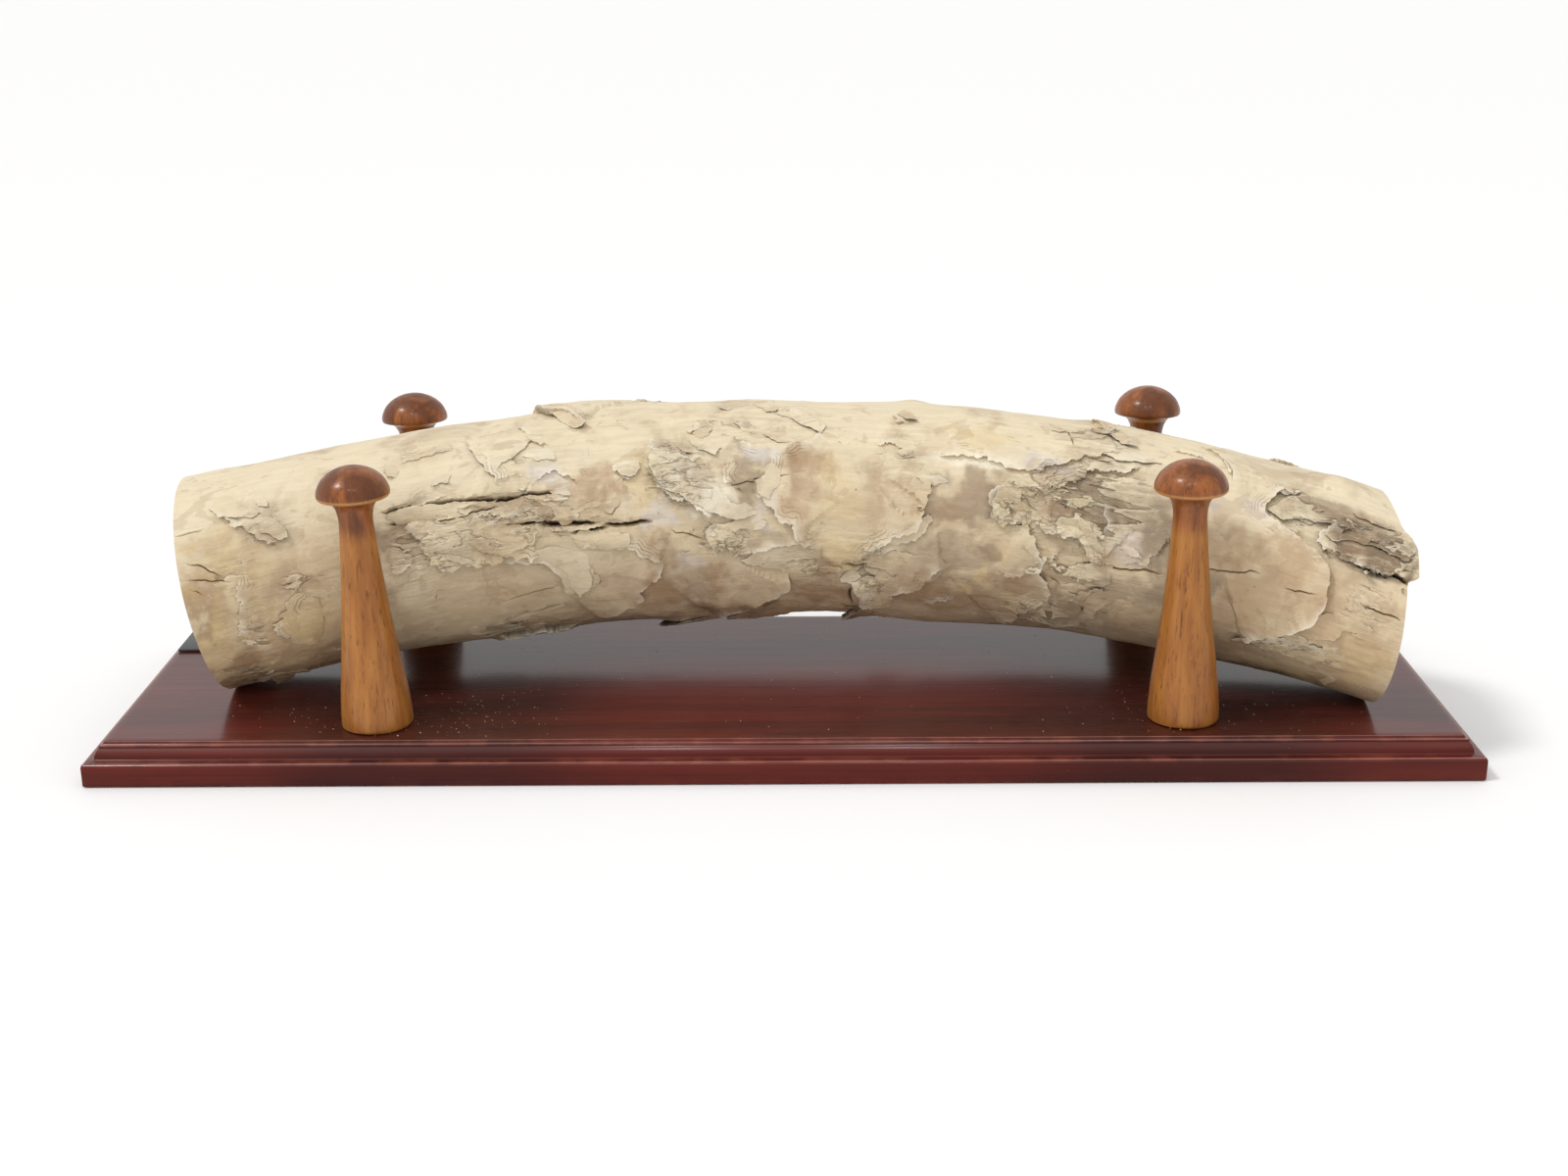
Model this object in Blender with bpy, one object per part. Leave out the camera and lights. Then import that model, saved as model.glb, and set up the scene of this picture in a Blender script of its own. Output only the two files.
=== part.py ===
# A section of curved tusk lying on a moulded board, held between four turned pegs.
# Written in millimetres and scaled to metres as each mesh is made. X runs along the board,
# Y away from the viewer, Z up, and zero is the middle of the board's underside.
import math

import bmesh
import bpy
import numpy as np
from mathutils import Matrix, Vector, geometry

for old in list(bpy.data.objects):
    bpy.data.objects.remove(old, do_unlink=True)

mm = 0.001
gap = 0.3

# the board, cut from a plank 25 inches long and 7 1/4 inches deep
boardLength = 635.0
boardDepth = 184.4
boardThickness = 19.0
# how far in from the edge and how high each turn of the moulding is, from the foot up
boardProfile = [
    (0.4, 0.0), (0.0, 0.4), (0.0, 9.9), (0.3, 10.6), (1.0, 10.9), (4.7, 11.3), (4.95, 12.0),
    (5.4, 13.9), (6.3, 15.6), (6.9, 16.3), (6.7, 16.9), (7.2, 17.5), (7.9, 17.4), (8.5, 17.9),
    (8.7, 19.0),
]

# the turned pegs, all to one pattern, with a tenon glued into a blind hole
tenonRadius = 6.35
tenonLength = 12.0
holeRadius = 6.75
holeDepth = 13.0
pegSides = 20
pegProfile = [
    (15.7, 0.0), (16.4, 0.9), (15.6, 14.5), (14.1, 27.0), (12.6, 39.8), (11.2, 52.0),
    (10.0, 64.7), (8.9, 78.0), (8.0, 91.5), (7.7, 97.5), (8.3, 102.5), (11.0, 107.4),
    (15.4, 108.8), (16.5, 110.2), (15.9, 113.4), (12.9, 117.6), (7.6, 121.2), (2.6, 122.9),
]
# foot across the board, foot from front to back, lean left or right, lean to the back, height
pegLayout = {
    "peg_front_left": (-187.7, -62.0, -1.8, 0.0, 1.0),
    "peg_front_right": (185.4, -60.0, -1.2, 0.0, 1.0),
    "peg_back_left": (-184.8, 65.6, -1.6, 5.0, 1.013),
    "peg_back_right": (185.0, 65.6, 0.5, 5.0, 1.024),
}

# the plate at the back left corner of the board's top
plateSize = (90.0, 40.0, 1.0)
plateLeft = -308.4
plateFront = 33.0

# the tusk's middle line: how far back it stands and how high, against the share of 300 mm
# from the middle of the board
tuskBack = (38.3, 2.2, -70.0, -15.2, 0.6)
tuskHeight = (92.0, -1.0, -28.8, -0.4, 1.5)
tuskHalfHeight = (53.1, -1.4, -2.9)
tuskDepthShare = 0.9
# where each sawn end meets the middle line, how far the front and the top of the cut run on
# from there, and how far the tongue at the upper front stands out
leftEnd = (-281.0, -11.5, -1.0, 0.0)
rightEnd = (291.0, 25.0, -4.0, 5.5)
degree = 0.87
alongStep = 10.5
aroundStep = 11.25

# Places on the tusk are given as the distance along its middle line and the angle round it,
# 0 to the front and 90 on top. A ledge has its raised side on the right of the way it runs:
# height of the step, how far back the raised layer fades, how deep the foot is hollowed.
ledges = [
    (1.6, 16, 0.5, [(-241, 30), (-250, 31), (-256, 38), (-263.5, 43), (-263, 45), (-271, 56)]),
    (1.3, 18, 0.4, [(-236, -28), (-247, -28), (-249, -22), (-255, -15), (-245, -7), (-237, 2)]),
    (0.9, 12, 0.3, [(-274, -19), (-270, -6), (-267, 3), (-268, 10), (-267, 17)]),
    (1.6, 26, 0.4, [(-138, 35), (-142, 48), (-147, 60), (-149, 69)]),
    (1.2, 18, 0.3, [(-112, 55), (-120, 60), (-122, 65), (-128, 75)]),
    (3.2, 30, 0.6, [(-93, 69), (-102, 80), (-113, 93), (-118, 105)]),
    (2.6, 26, 1.2, [(-122, -1), (-145, -0.5), (-154, -1.5), (-163, 0.5), (-176, 3), (-178, 10),
                    (-185, 23), (-181, 27)]),
    (1.8, 14, 0.6, [(-109, -31), (-111, -25), (-115, -13), (-121, -6), (-138, -4)]),
    (1.3, 20, 0.5, [(-61, -13), (-66, -11), (-75, -4), (-85, -1.5), (-105, 1)]),
    (2.0, 26, 0.8, [(-61, -13), (-69, -21), (-76, -28), (-74, -33), (-88, -47), (-100, -52)]),
    (3.4, 13, 0.8, [(-33, 10.5), (-40, 15), (-47, 18.5), (-57, 24), (-63, 30.5), (-66, 44),
                    (-61, 57)]),
    (1.8, 20, 0.6, [(-22, -8), (-32, -6), (-37, -3), (-39, 3), (-33, 8)]),
    (2.3, 24, 0.9, [(12, -4), (8, -1), (6, 7), (-3, 10.5), (-13, 22), (-14, 29), (-5, 38), (-7, 42)]),
    (1.6, 14, 0.8, [(18, -5), (0, -4.5), (-10, -7), (-23, -10), (-28, -13)]),
    (2.6, 24, 1.0, [(2, -20), (2.5, -30), (-4, -36.5), (-12, -41), (-19, -47.5), (-30, -50),
                    (-40, -56)]),
    (1.0, 18, 0.3, [(0, 47), (13, 49), (20, 59), (14, 67), (-2, 79)]),
    (2.0, 22, 0.8, [(76, 34), (69, 16), (71, 10), (57, 2), (47, -6.5), (42, -9), (41, -17)]),
    (2.3, 20, 0.9, [(86, -14), (81, -15), (70, -28), (56.5, -33), (57, -42), (43, -47), (36, -27)]),
    (1.5, 22, 0.4, [(165, 65), (156, 60), (146, 53), (137, 47), (127, 43), (110, 42), (76, 47)]),
    (2.0, 14, 0.8, [(128, 16), (119, 14.5), (110, 14.5), (105, 23), (112, 37)]),
    (1.5, 18, 0.5, [(176, 57), (160, 49), (147, 41.5), (138, 34.5), (125, 33)]),
    (2.6, 20, 1.4, [(166, -3), (157, 6), (151, 12), (139, 12), (128, 16)]),
    (2.2, 22, 1.0, [(119, 14.5), (126, 8), (136, -2), (134, -9), (139, -20), (139, -27),
                    (128, -40), (112, -58)]),
    (1.6, 20, 0.4, [(168, 70), (153, 82), (145, 94)]),
    (1.8, 14, 0.7, [(149, -30), (155, -23), (162, -17), (172, -16)]),
    (2.3, 26, 1.2, [(243, 68), (236, 47), (237, 43), (254, 35.5), (271, 26), (276, 14), (277, 6),
                    (274, -4), (259, -15), (238, -27.5)]),
    (3.4, 16, 1.2, [(314, 31), (298, 31), (284, 32), (270, 34), (267, 41), (276, 50)]),
    (2.2, 16, 0.6, [(-150, -64), (-128, -62), (-108, -64)]),
    (2.2, 24, 0.8, [(-60, 112), (-75, 122), (-92, 128), (-96, 140), (-120, 146)]),
    (2.0, 20, 0.8, [(40, 125), (22, 131), (15, 145), (-12, 150), (-20, 162)]),
    (1.8, 20, 0.6, [(170, 110), (150, 118), (146, 130), (120, 138)]),
    (2.0, 20, 0.8, [(250, 150), (236, 140), (240, 122), (225, 112)]),
    (1.6, 18, 0.5, [(-205, 150), (-222, 142), (-225, 128), (-240, 120)]),
    (2.0, 20, 0.8, [(-120, -118), (-128, -132), (-150, -128), (-170, -140)]),
    (2.0, 20, 0.8, [(40, -120), (66, -126), (70, -140), (90, -150)]),
    (2.0, 20, 0.8, [(-30, -150), (-50, -142), (-58, -128), (-82, -124)]),
    (2.0, 20, 0.8, [(200, -110), (190, -124), (166, -130), (160, -146)]),
]
# A crack: width, depth, then the way it runs.
cracks = [
    (1.0, 1.6, [(-290, 29), (-281, 25), (-271, 16)]),
    (0.9, 1.4, [(-291, 19), (-280, 17), (-268, 13)]),
    (1.2, 2.2, [(-250, 6.5), (-240, 6), (-232, 6)]),
    (2.4, 5.0, [(-198, 33), (-179, 35), (-159, 32), (-150, 30), (-128, 29), (-110, 28)]),
    (1.8, 3.6, [(-195, 26), (-182, 26.5), (-174, 28), (-162, 30.5)]),
    (2.8, 5.5, [(-141, 15.5), (-122, 16), (-112, 13), (-100, 12), (-90, 11.5)]),
    (2.2, 4.5, [(-109, 8.5), (-102, 7), (-89, 9), (-75, 9.7), (-66, 9.4)]),
    (1.2, 2.6, [(-146, -30), (-133, -26), (-115, -22)]),
    (2.4, 5.0, [(-153, -47), (-141, -43.5), (-129, -40), (-113, -35)]),
    (1.1, 1.8, [(123, 82), (137, 72), (143, 58)]),
    (1.5, 2.6, [(152, -3.5), (170, -1.5), (187, 0), (200, 0), (214, 8), (231, 10), (246, 13)]),
    (1.1, 1.8, [(198, 88), (209, 78), (218, 63), (218, 57)]),
    (2.2, 4.5, [(284, 30), (298, 29.5), (311, 29)]),
    (1.1, 2.2, [(291, 13), (303, 9.5), (313, 8)]),
    (1.0, 1.8, [(254, 8), (262, 8.5), (275, 10)]),
    (1.6, 3.0, [(-64, 152), (-22, 146), (30, 153), (58, 151)]),
    (1.4, 2.6, [(-128, 171), (-92, 167), (-60, 171)]),
    (1.6, 3.0, [(-24, -160), (40, -166), (92, -162)]),
    (1.4, 2.6, [(196, 140), (228, 133), (262, 137)]),
]
# A hollow or a swelling: where, how long and how wide in mm, how high.
swellings = [
    (-190, 17, 12, 10, -3.0),
    (-160, 4, 6, 3, -2.2),
    (-60, 48, 8, 7, 1.6),
    (-23, -11, 4, 3, -2.5),
    (45, -20, 5, 3, -3.2),
    (127, 27, 5, 4, -3.0),
    (148, 3, 12, 6, -2.6),
    (158, -34, 4, 3, -2.6),
    (168, 27, 22, 16, -1.4),
    (-155, -20, 32, 18, -1.3),
    (290, 45, 14, 6, 2.2),
    (262, 88, 12, 12, 2.2),
    (302, 92, 18, 34, -9.5),
    (-90, 105, 26, 20, 2.4),
    (-10, 104, 18, 14, 1.4),
    (62, 104, 8, 14, 1.8),
    (148, 100, 8, 12, 1.6),
    (-55, -72, 8, 8, 1.8),
    (40, -66, 6, 6, -2.4),
    (-215, 60, 45, 40, 0.9),
    (-70, -30, 50, 30, 0.8),
    (90, 60, 60, 30, 0.9),
    (230, 0, 40, 40, 0.8),
    (0, 170, 80, 50, -1.2),
    (-140, 190, 60, 40, 0.9),
    (150, 160, 70, 40, -1.0),
    (-186, 174, 34, 34, -7.0),
    (190, 174, 34, 34, -2.0),
]


def power_sum(terms, share):
    return sum(value * share**power for power, value in enumerate(terms))


lineX = np.linspace(-330.0, 330.0, 2641)
lineShare = lineX / 300.0
lineY = power_sum(tuskBack, lineShare)
lineZ = power_sum(tuskHeight, lineShare)
lineStep = np.sqrt(np.diff(lineX) ** 2 + np.diff(lineY) ** 2 + np.diff(lineZ) ** 2)
lineAlong = np.concatenate([[0.0], np.cumsum(lineStep)])
lineAlong -= np.interp(0.0, lineX, lineAlong)


def end_at(end, angle):
    """Where the sawn end cuts the side at this angle, measured along the middle line."""
    turn = np.radians(angle)
    tongue = ease((angle - 29.5) / 4.0) * ease((66.0 - angle) / 20.0)
    return end[0] + end[1] * np.cos(turn) + end[2] * np.sin(turn) + end[3] * tongue


def tusk_point(along, angle, lift):
    """Points on the tusk's side, with lift above the smooth surface."""
    turn = np.radians(angle)
    x = np.interp(along, lineAlong, lineX)
    here = np.stack([x, np.interp(x, lineX, lineY), np.interp(x, lineX, lineZ)], axis=-1)
    ahead = x + 1.0
    there = np.stack(
        [ahead, np.interp(ahead, lineX, lineY), np.interp(ahead, lineX, lineZ)], axis=-1
    )
    way = there - here
    way /= np.linalg.norm(way, axis=-1, keepdims=True)
    up = np.array([0.0, 0.0, 1.0]) - way[..., 2:3] * way
    up /= np.linalg.norm(up, axis=-1, keepdims=True)
    back = np.cross(up, way)
    half = power_sum(tuskHalfHeight, x / 300.0)
    rise = (half + lift) * np.sin(turn)
    front = (half * tuskDepthShare + lift) * np.cos(turn)
    return here + rise[..., None] * up - front[..., None] * back


def near_line(spots, line):
    """Distance to a line, which side of it, 1 for the right, and how far from its ends."""
    best = np.full(len(spots), 1e9)
    side = np.zeros(len(spots))
    fromEnds = np.zeros(len(spots))
    lengths = np.linalg.norm(np.diff(line, axis=0), axis=1)
    total = lengths.sum()
    before = 0.0
    for start, stop, length in zip(line[:-1], line[1:], lengths):
        way = (stop - start) / length
        rel = spots - start
        share = np.clip(rel @ way, 0.0, length)
        off = rel - share[:, None] * way
        far = np.linalg.norm(off, axis=1)
        nearer = far < best - 1e-9
        best = np.where(nearer, far, best)
        cross = way[0] * rel[:, 1] - way[1] * rel[:, 0]
        side = np.where(nearer, -np.sign(cross), side)
        run = before + share
        fromEnds = np.where(nearer, np.minimum(run, total - run), fromEnds)
        before += length
    return best, side, fromEnds


def flat(points):
    return np.array([(along, angle * degree) for along, angle in points], float)


def ease(value):
    value = np.clip(value, 0.0, 1.0)
    return value * value * (3.0 - 2.0 * value)


def tusk_relief(spots):
    lift = np.zeros(len(spots))
    angle = spots[:, 1] / degree
    lift += 0.7 * np.sin(spots[:, 0] / 37.0 + 1.3) * np.cos(np.radians(angle * 2.0 + 20.0))
    lift += 0.5 * np.sin(spots[:, 0] / 19.0 + angle / 23.0)
    for height, reach, hollow, points in ledges:
        far, side, fromEnds = near_line(spots, flat(points))
        taper = ease(fromEnds / 7.0)
        high = height * np.exp(-far / reach)
        low = -hollow * np.exp(-far / (0.4 * reach))
        lift += taper * np.where(side >= 0, high, low)
    for width, depth, points in cracks:
        far, side, fromEnds = near_line(spots, flat(points))
        lift -= depth * ease(fromEnds / 9.0) * np.clip(1.0 - far / width, 0.0, 1.0)
    for along, round_, long_, wide, height in swellings:
        across = spots[:, 1] - round_ * degree
        if round_ > 120:
            across = np.where(across < -180 * degree, across + 360 * degree, across)
        far = ((spots[:, 0] - along) / long_) ** 2 + (across / wide) ** 2
        lift += height * np.exp(-far)
    return lift


def beside(line, distance):
    """The line moved sideways by this much, to its left when above 0."""
    ways = np.diff(line, axis=0)
    ways /= np.linalg.norm(ways, axis=1)[:, None]
    corner = np.vstack([ways[:1], ways[:-1] + ways[1:], ways[-1:]])
    corner /= np.maximum(np.linalg.norm(corner, axis=1)[:, None], 0.4)
    return line + distance * np.stack([-corner[:, 1], corner[:, 0]], axis=1)


def inside_ends(spots, margin):
    angle = spots[:, 1] / degree
    return (spots[:, 0] > end_at(leftEnd, angle) + margin) & (
        spots[:, 0] < end_at(rightEnd, angle) - margin
    )


def divided(line, longest):
    parts = [line[:1]]
    for start, stop in zip(line[:-1], line[1:]):
        count = max(1, int(np.ceil(np.linalg.norm(stop - start) / longest)))
        shares = np.arange(1, count + 1)[:, None] / count
        parts.append(start + (stop - start) * shares)
    return np.vstack(parts)


def tusk_mesh():
    spots = []
    edges = []
    # the outline of the side laid flat: the cut at the back, and the two sawn ends
    angles = np.arange(-180.0, 180.1, aroundStep)
    count = int((end_at(rightEnd, 180.0) - end_at(leftEnd, 180.0)) / alongStep)
    seam = np.linspace(end_at(leftEnd, 180.0), end_at(rightEnd, 180.0), count)
    outline = [(s, -180.0) for s in seam]
    outline += [(end_at(rightEnd, a), a) for a in angles[1:-1]]
    outline += [(s, 180.0) for s in seam[::-1]]
    outline += [(end_at(leftEnd, a), a) for a in angles[-2:0:-1]]
    spots += [Vector((s, a * degree)) for s, a in outline]
    face = list(range(len(spots)))

    lines = []
    for _, _, _, points in ledges:
        line = divided(flat(points), 13.0)
        lines.append(beside(line, 0.35))
        lines.append(beside(line, -0.35))
    for width, _, points in cracks:
        line = divided(flat(points), 16.0)
        lines.append(beside(line, 0.0)[:])
        lines.append(beside(line, width)[1:-1])
        lines.append(beside(line, -width)[1:-1])
    taken = []
    for line in lines:
        line = line[inside_ends(line, 2.0)]
        taken.append(line)
        first = len(spots)
        spots += [Vector(spot) for spot in line]
        edges += [(first + i, first + i + 1) for i in range(len(line) - 1)]
    taken = np.vstack(taken)

    grid = []
    for row, angle in enumerate(angles[1:-1]):
        shift = 0.5 * alongStep * (row % 2)
        for s in np.arange(-300.0 + shift, 320.0, alongStep):
            grid.append((s, angle * degree))
    grid = np.array(grid)
    grid = grid[inside_ends(grid, 4.0)]
    for spot in grid:
        if np.linalg.norm(taken - spot, axis=1).min() > 3.6:
            spots.append(Vector(spot))

    made, _, faces, origins, _, _ = geometry.delaunay_2d_cdt(spots, edges, [face], 1, 1e-4)
    made = np.array([(v.x, v.y) for v in made])
    lift = tusk_relief(made)
    body = tusk_point(made[:, 0], made[:, 1] / degree, lift)

    # the two edges at the back are one
    same = {}
    for index, (s, v) in enumerate(made):
        if abs(v - 180.0 * degree) < 1e-3:
            twin = np.argmin(np.abs(made[:, 0] - s) + 1e3 * np.abs(made[:, 1] + 180.0 * degree))
            same[index] = int(twin)
            body[index] = body[twin]
    faces = [[same.get(i, i) for i in corners] for corners in faces]

    # the sawn ends, in rings round a shallow dish
    points = [tuple(p) for p in body]
    for end, forward in ((leftEnd, False), (rightEnd, True)):
        rim = []
        for angle in angles[:-1]:
            target = np.array([end_at(end, angle), angle * degree])
            rim.append(int(np.argmin(np.linalg.norm(made - target, axis=1))))
        rim = [same.get(i, i) for i in rim]
        ring = np.array([points[i] for i in rim])
        middle = ring.mean(axis=0)
        way = np.cross(ring[0] - middle, ring[len(ring) // 4] - middle)
        way *= (1.0 if forward else -1.0) * np.sign(way[0]) / np.linalg.norm(way)
        outer = rim
        for share, depth in ((0.93, 0.5), (0.5, 1.0), (0.16, 2.2)):
            first = len(points)
            points += [tuple(middle + (p - middle) * share - way * depth) for p in ring]
            inner = list(range(first, len(points)))
            for i in range(len(rim)):
                j = (i + 1) % len(rim)
                faces.append([outer[i], outer[j], inner[j], inner[i]])
            outer = inner
        points.append(tuple(middle - way * 3.4))
        for i in range(len(rim)):
            faces.append([outer[i], outer[(i + 1) % len(rim)], len(points) - 1])
    return np.array(points), faces


def settled(points):
    """The tusk let down until both ends rest on the board."""
    floor = boardThickness + gap
    for _ in range(4):
        low = []
        for half in (points[:, 0] < 0, points[:, 0] > 0):
            index = np.flatnonzero(half)[np.argmin(points[half, 2])]
            low.append((points[index, 0], points[index, 2] - floor))
        slope = (low[1][1] - low[0][1]) / (low[1][0] - low[0][0])
        points[:, 2] -= low[0][1] + slope * (points[:, 0] - low[0][0])
    return points


def material(name, colour, roughness, coat=0.0):
    made = bpy.data.materials.new(name)
    made.use_nodes = True
    shader = made.node_tree.nodes["Principled BSDF"]
    shader.inputs["Base Color"].default_value = (*colour, 1.0)
    shader.inputs["Roughness"].default_value = roughness
    shader.inputs["Coat Weight"].default_value = coat
    return made


def placed(name, points, faces, origin, surface):
    """A closed mesh as an object, with its origin where it is named to be."""
    mesh = bpy.data.meshes.new(name)
    origin = np.array(origin, float)
    mesh.from_pydata([tuple((np.array(p) - origin) * mm) for p in points], [], faces)
    work = bmesh.new()
    work.from_mesh(mesh)
    loose = [v for v in work.verts if not v.link_faces]
    bmesh.ops.delete(work, geom=loose, context="VERTS")
    bmesh.ops.recalc_face_normals(work, faces=work.faces)
    work.to_mesh(mesh)
    work.free()
    made = bpy.data.objects.new(name, mesh)
    bpy.context.scene.collection.objects.link(made)
    made.location = Vector(origin * mm)
    mesh.materials.append(surface)
    return made


def turned(profile, sides):
    """Rings about Z from radius and height, closed to a point at both ends."""
    points = []
    for radius, height in profile:
        for i in range(sides):
            turn = 2.0 * math.pi * i / sides
            points.append((radius * math.cos(turn), radius * math.sin(turn), height))
    faces = []
    for ring in range(len(profile) - 1):
        for i in range(sides):
            j = (i + 1) % sides
            a = ring * sides
            faces.append([a + i, a + j, a + sides + j, a + sides + i])
    faces.append(list(range(sides))[::-1])
    faces.append([(len(profile) - 1) * sides + i for i in range(sides)])
    return points, faces


def leaning(foot, sideways, backwards):
    """A turn about the foot of a peg that leans by these angles."""
    lean = Vector((math.tan(math.radians(sideways)), math.tan(math.radians(backwards)), 1.0))
    turn = Vector((0.0, 0.0, 1.0)).rotation_difference(lean.normalized()).to_matrix().to_4x4()
    return Matrix.Translation(Vector(foot)) @ turn


ivory = material("tusk_ivory", (0.60, 0.48, 0.33), 0.65)
mahogany = material("varnished_mahogany", (0.12, 0.025, 0.018), 0.18, 0.6)
pegWood = material("peg_wood", (0.40, 0.17, 0.05), 0.35, 0.3)
plateSurface = material("label_plate", (0.02, 0.02, 0.022), 0.2)

points, faces = tusk_mesh()
points = settled(points)
placed("tusk", points, faces, (0.0, 38.0, 92.0), ivory)

# the board, one rectangle for each turn of the moulding
points = []
for inset, height in boardProfile:
    x = boardLength / 2 - inset
    y = boardDepth / 2 - inset
    points += [(-x, -y, height), (x, -y, height), (x, y, height), (-x, y, height)]
faces = [[3, 2, 1, 0]]
for ring in range(len(boardProfile) - 1):
    for i in range(4):
        j = (i + 1) % 4
        faces.append([4 * ring + i, 4 * ring + j, 4 * ring + 4 + j, 4 * ring + 4 + i])
last = 4 * (len(boardProfile) - 1)
faces.append([last, last + 1, last + 2, last + 3])
board = placed("base_board", points, faces, (0.0, 0.0, 0.0), mahogany)

for name, (x, y, sideways, backwards, tall) in pegLayout.items():
    foot = (x, y, boardThickness)
    spot = leaning(foot, sideways, backwards)
    hole, holeFaces = turned([(holeRadius, -holeDepth), (holeRadius, 6.0)], pegSides)
    hole = [tuple(spot @ Vector(p)) for p in hole]
    cutter = placed("hole_" + name, hole, holeFaces, (0.0, 0.0, 0.0), mahogany)
    cutter.hide_render = True
    cutter.display_type = "WIRE"
    cut = board.modifiers.new("hole_" + name, "BOOLEAN")
    cut.operation = "DIFFERENCE"
    cut.solver = "EXACT"
    cut.object = cutter

    # the foot of a leaning peg is cut level with the board
    sink = 16.4 * math.tan(math.radians(math.hypot(sideways, backwards)))
    profile = [(tenonRadius, -tenonLength), (tenonRadius, -sink)]
    profile += [(pegProfile[0][0], -sink)] + [(r, h * tall) for r, h in pegProfile[1:]]
    body, bodyFaces = turned(profile, pegSides)
    level = boardThickness + gap
    for index, corner in enumerate(body):
        moved = spot @ Vector(corner)
        if index >= pegSides:
            moved.z = max(moved.z, level)
        body[index] = tuple(moved)
    placed(name, body, bodyFaces, foot, pegWood)

x0, x1 = plateLeft, plateLeft + plateSize[0]
y0, y1 = plateFront, plateFront + plateSize[1]
z0 = boardThickness + gap
z1 = z0 + plateSize[2]
corners = [(x, y, z) for z in (z0, z1) for y in (y0, y1) for x in (x0, x1)]
sides = [[0, 2, 3, 1], [4, 5, 7, 6], [0, 1, 5, 4], [2, 6, 7, 3], [0, 4, 6, 2], [1, 3, 7, 5]]
placed("label_plate", corners, sides, ((x0 + x1) / 2, (y0 + y1) / 2, z0), plateSurface)
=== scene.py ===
import math

import bmesh
import bpy
import numpy as np
from mathutils import Matrix, Vector, geometry, kdtree, noise


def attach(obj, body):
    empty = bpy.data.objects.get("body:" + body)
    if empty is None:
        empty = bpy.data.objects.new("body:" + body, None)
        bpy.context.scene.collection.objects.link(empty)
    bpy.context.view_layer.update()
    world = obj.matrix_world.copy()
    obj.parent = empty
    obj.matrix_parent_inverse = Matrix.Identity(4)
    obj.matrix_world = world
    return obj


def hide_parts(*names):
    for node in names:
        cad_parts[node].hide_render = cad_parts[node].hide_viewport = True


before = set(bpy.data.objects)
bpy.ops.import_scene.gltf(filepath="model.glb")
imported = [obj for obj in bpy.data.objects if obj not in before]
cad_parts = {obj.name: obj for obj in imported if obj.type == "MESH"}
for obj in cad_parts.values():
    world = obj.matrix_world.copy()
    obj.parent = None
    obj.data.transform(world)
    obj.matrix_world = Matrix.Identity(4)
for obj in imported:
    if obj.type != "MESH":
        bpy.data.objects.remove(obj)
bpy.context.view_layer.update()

mm = 0.001
# air left under whatever stands on the board
gap = 0.3
scene = bpy.context.scene
print("frame loaded")


# helpers for colours and shader nodes
def paint(red, green, blue):
    share = np.array([red, green, blue]) / 255.0
    line = np.where(share <= 0.04045, share / 12.92, ((share + 0.055) / 1.055) ** 2.4)
    return (float(line[0]), float(line[1]), float(line[2]), 1.0)


def join(tree, value, socket):
    if isinstance(value, bpy.types.NodeSocket):
        tree.links.new(value, socket)
    else:
        socket.default_value = value


def place(tree, kind, *values, **settings):
    # a node with its settings, and its inputs joined or set in their order
    made = tree.nodes.new(kind)
    for title, value in settings.items():
        setattr(made, title, value)
    for index, value in enumerate(values):
        if value is not None:
            join(tree, value, made.inputs[index])
    return made


def calc(tree, operation, first, second=0.0, clamp=False):
    return place(tree, "ShaderNodeMath", first, second, operation=operation, use_clamp=clamp).outputs[0]


def times(tree, first, second, clamp=False):
    return calc(tree, "MULTIPLY", first, second, clamp)


def plus(tree, first, second):
    return calc(tree, "ADD", first, second)


def minus(tree, first, second):
    return calc(tree, "SUBTRACT", first, second)


def ramp(tree, value, low, high, bottom=0.0, top=1.0):
    made = place(
        tree, "ShaderNodeMapRange", value, low, high, bottom, top, interpolation_type="SMOOTHSTEP"
    )
    return made.outputs[0]


def mixed(tree, share, first, second):
    made = tree.nodes.new("ShaderNodeMix")
    made.data_type = "RGBA"
    join(tree, share, made.inputs[0])
    join(tree, first, made.inputs[6])
    join(tree, second, made.inputs[7])
    return made.outputs[2]


def dyed(tree, colour, mask, tone, most=None):
    # lays a tone over a colour as far as the mask says
    share = mask if most is None else times(tree, mask, most)
    return mixed(tree, share, colour, paint(*tone))


def noiseAt(tree, vector, scale, detail=3.0, roughness=0.55, distortion=0.0):
    made = place(tree, "ShaderNodeTexNoise", vector, None, scale, detail, roughness)
    join(tree, distortion, made.inputs[8])
    return made.outputs


def stretched(tree, vector, stretch):
    return place(tree, "ShaderNodeVectorMath", vector, stretch, operation="MULTIPLY").outputs[0]


def parted(tree, vector):
    return place(tree, "ShaderNodeSeparateXYZ", vector).outputs


def reading(tree, name, socket=2):
    return place(tree, "ShaderNodeAttribute", attribute_name=name).outputs[socket]


def shaderGroup(name, inputs, outputs):
    tree = bpy.data.node_groups.new(name, "ShaderNodeTree")
    for title, default in inputs.items():
        kind = "NodeSocketFloat" if isinstance(default, float) else "NodeSocketVector"
        socket = tree.interface.new_socket(name=title, in_out="INPUT", socket_type=kind)
        socket.default_value = default
    for title in outputs:
        tree.interface.new_socket(name=title, in_out="OUTPUT", socket_type="NodeSocketFloat")
    return tree, tree.nodes.new("NodeGroupInput").outputs, tree.nodes.new("NodeGroupOutput").inputs


def placeGroup(tree, group, **values):
    made = tree.nodes.new("ShaderNodeGroup")
    made.node_tree = group
    for title, value in values.items():
        join(tree, value, made.inputs[title])
    return made.outputs


unmoved = (0.0, 0.0, 0.0)
unstretched = (1.0, 1.0, 1.0)

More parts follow.
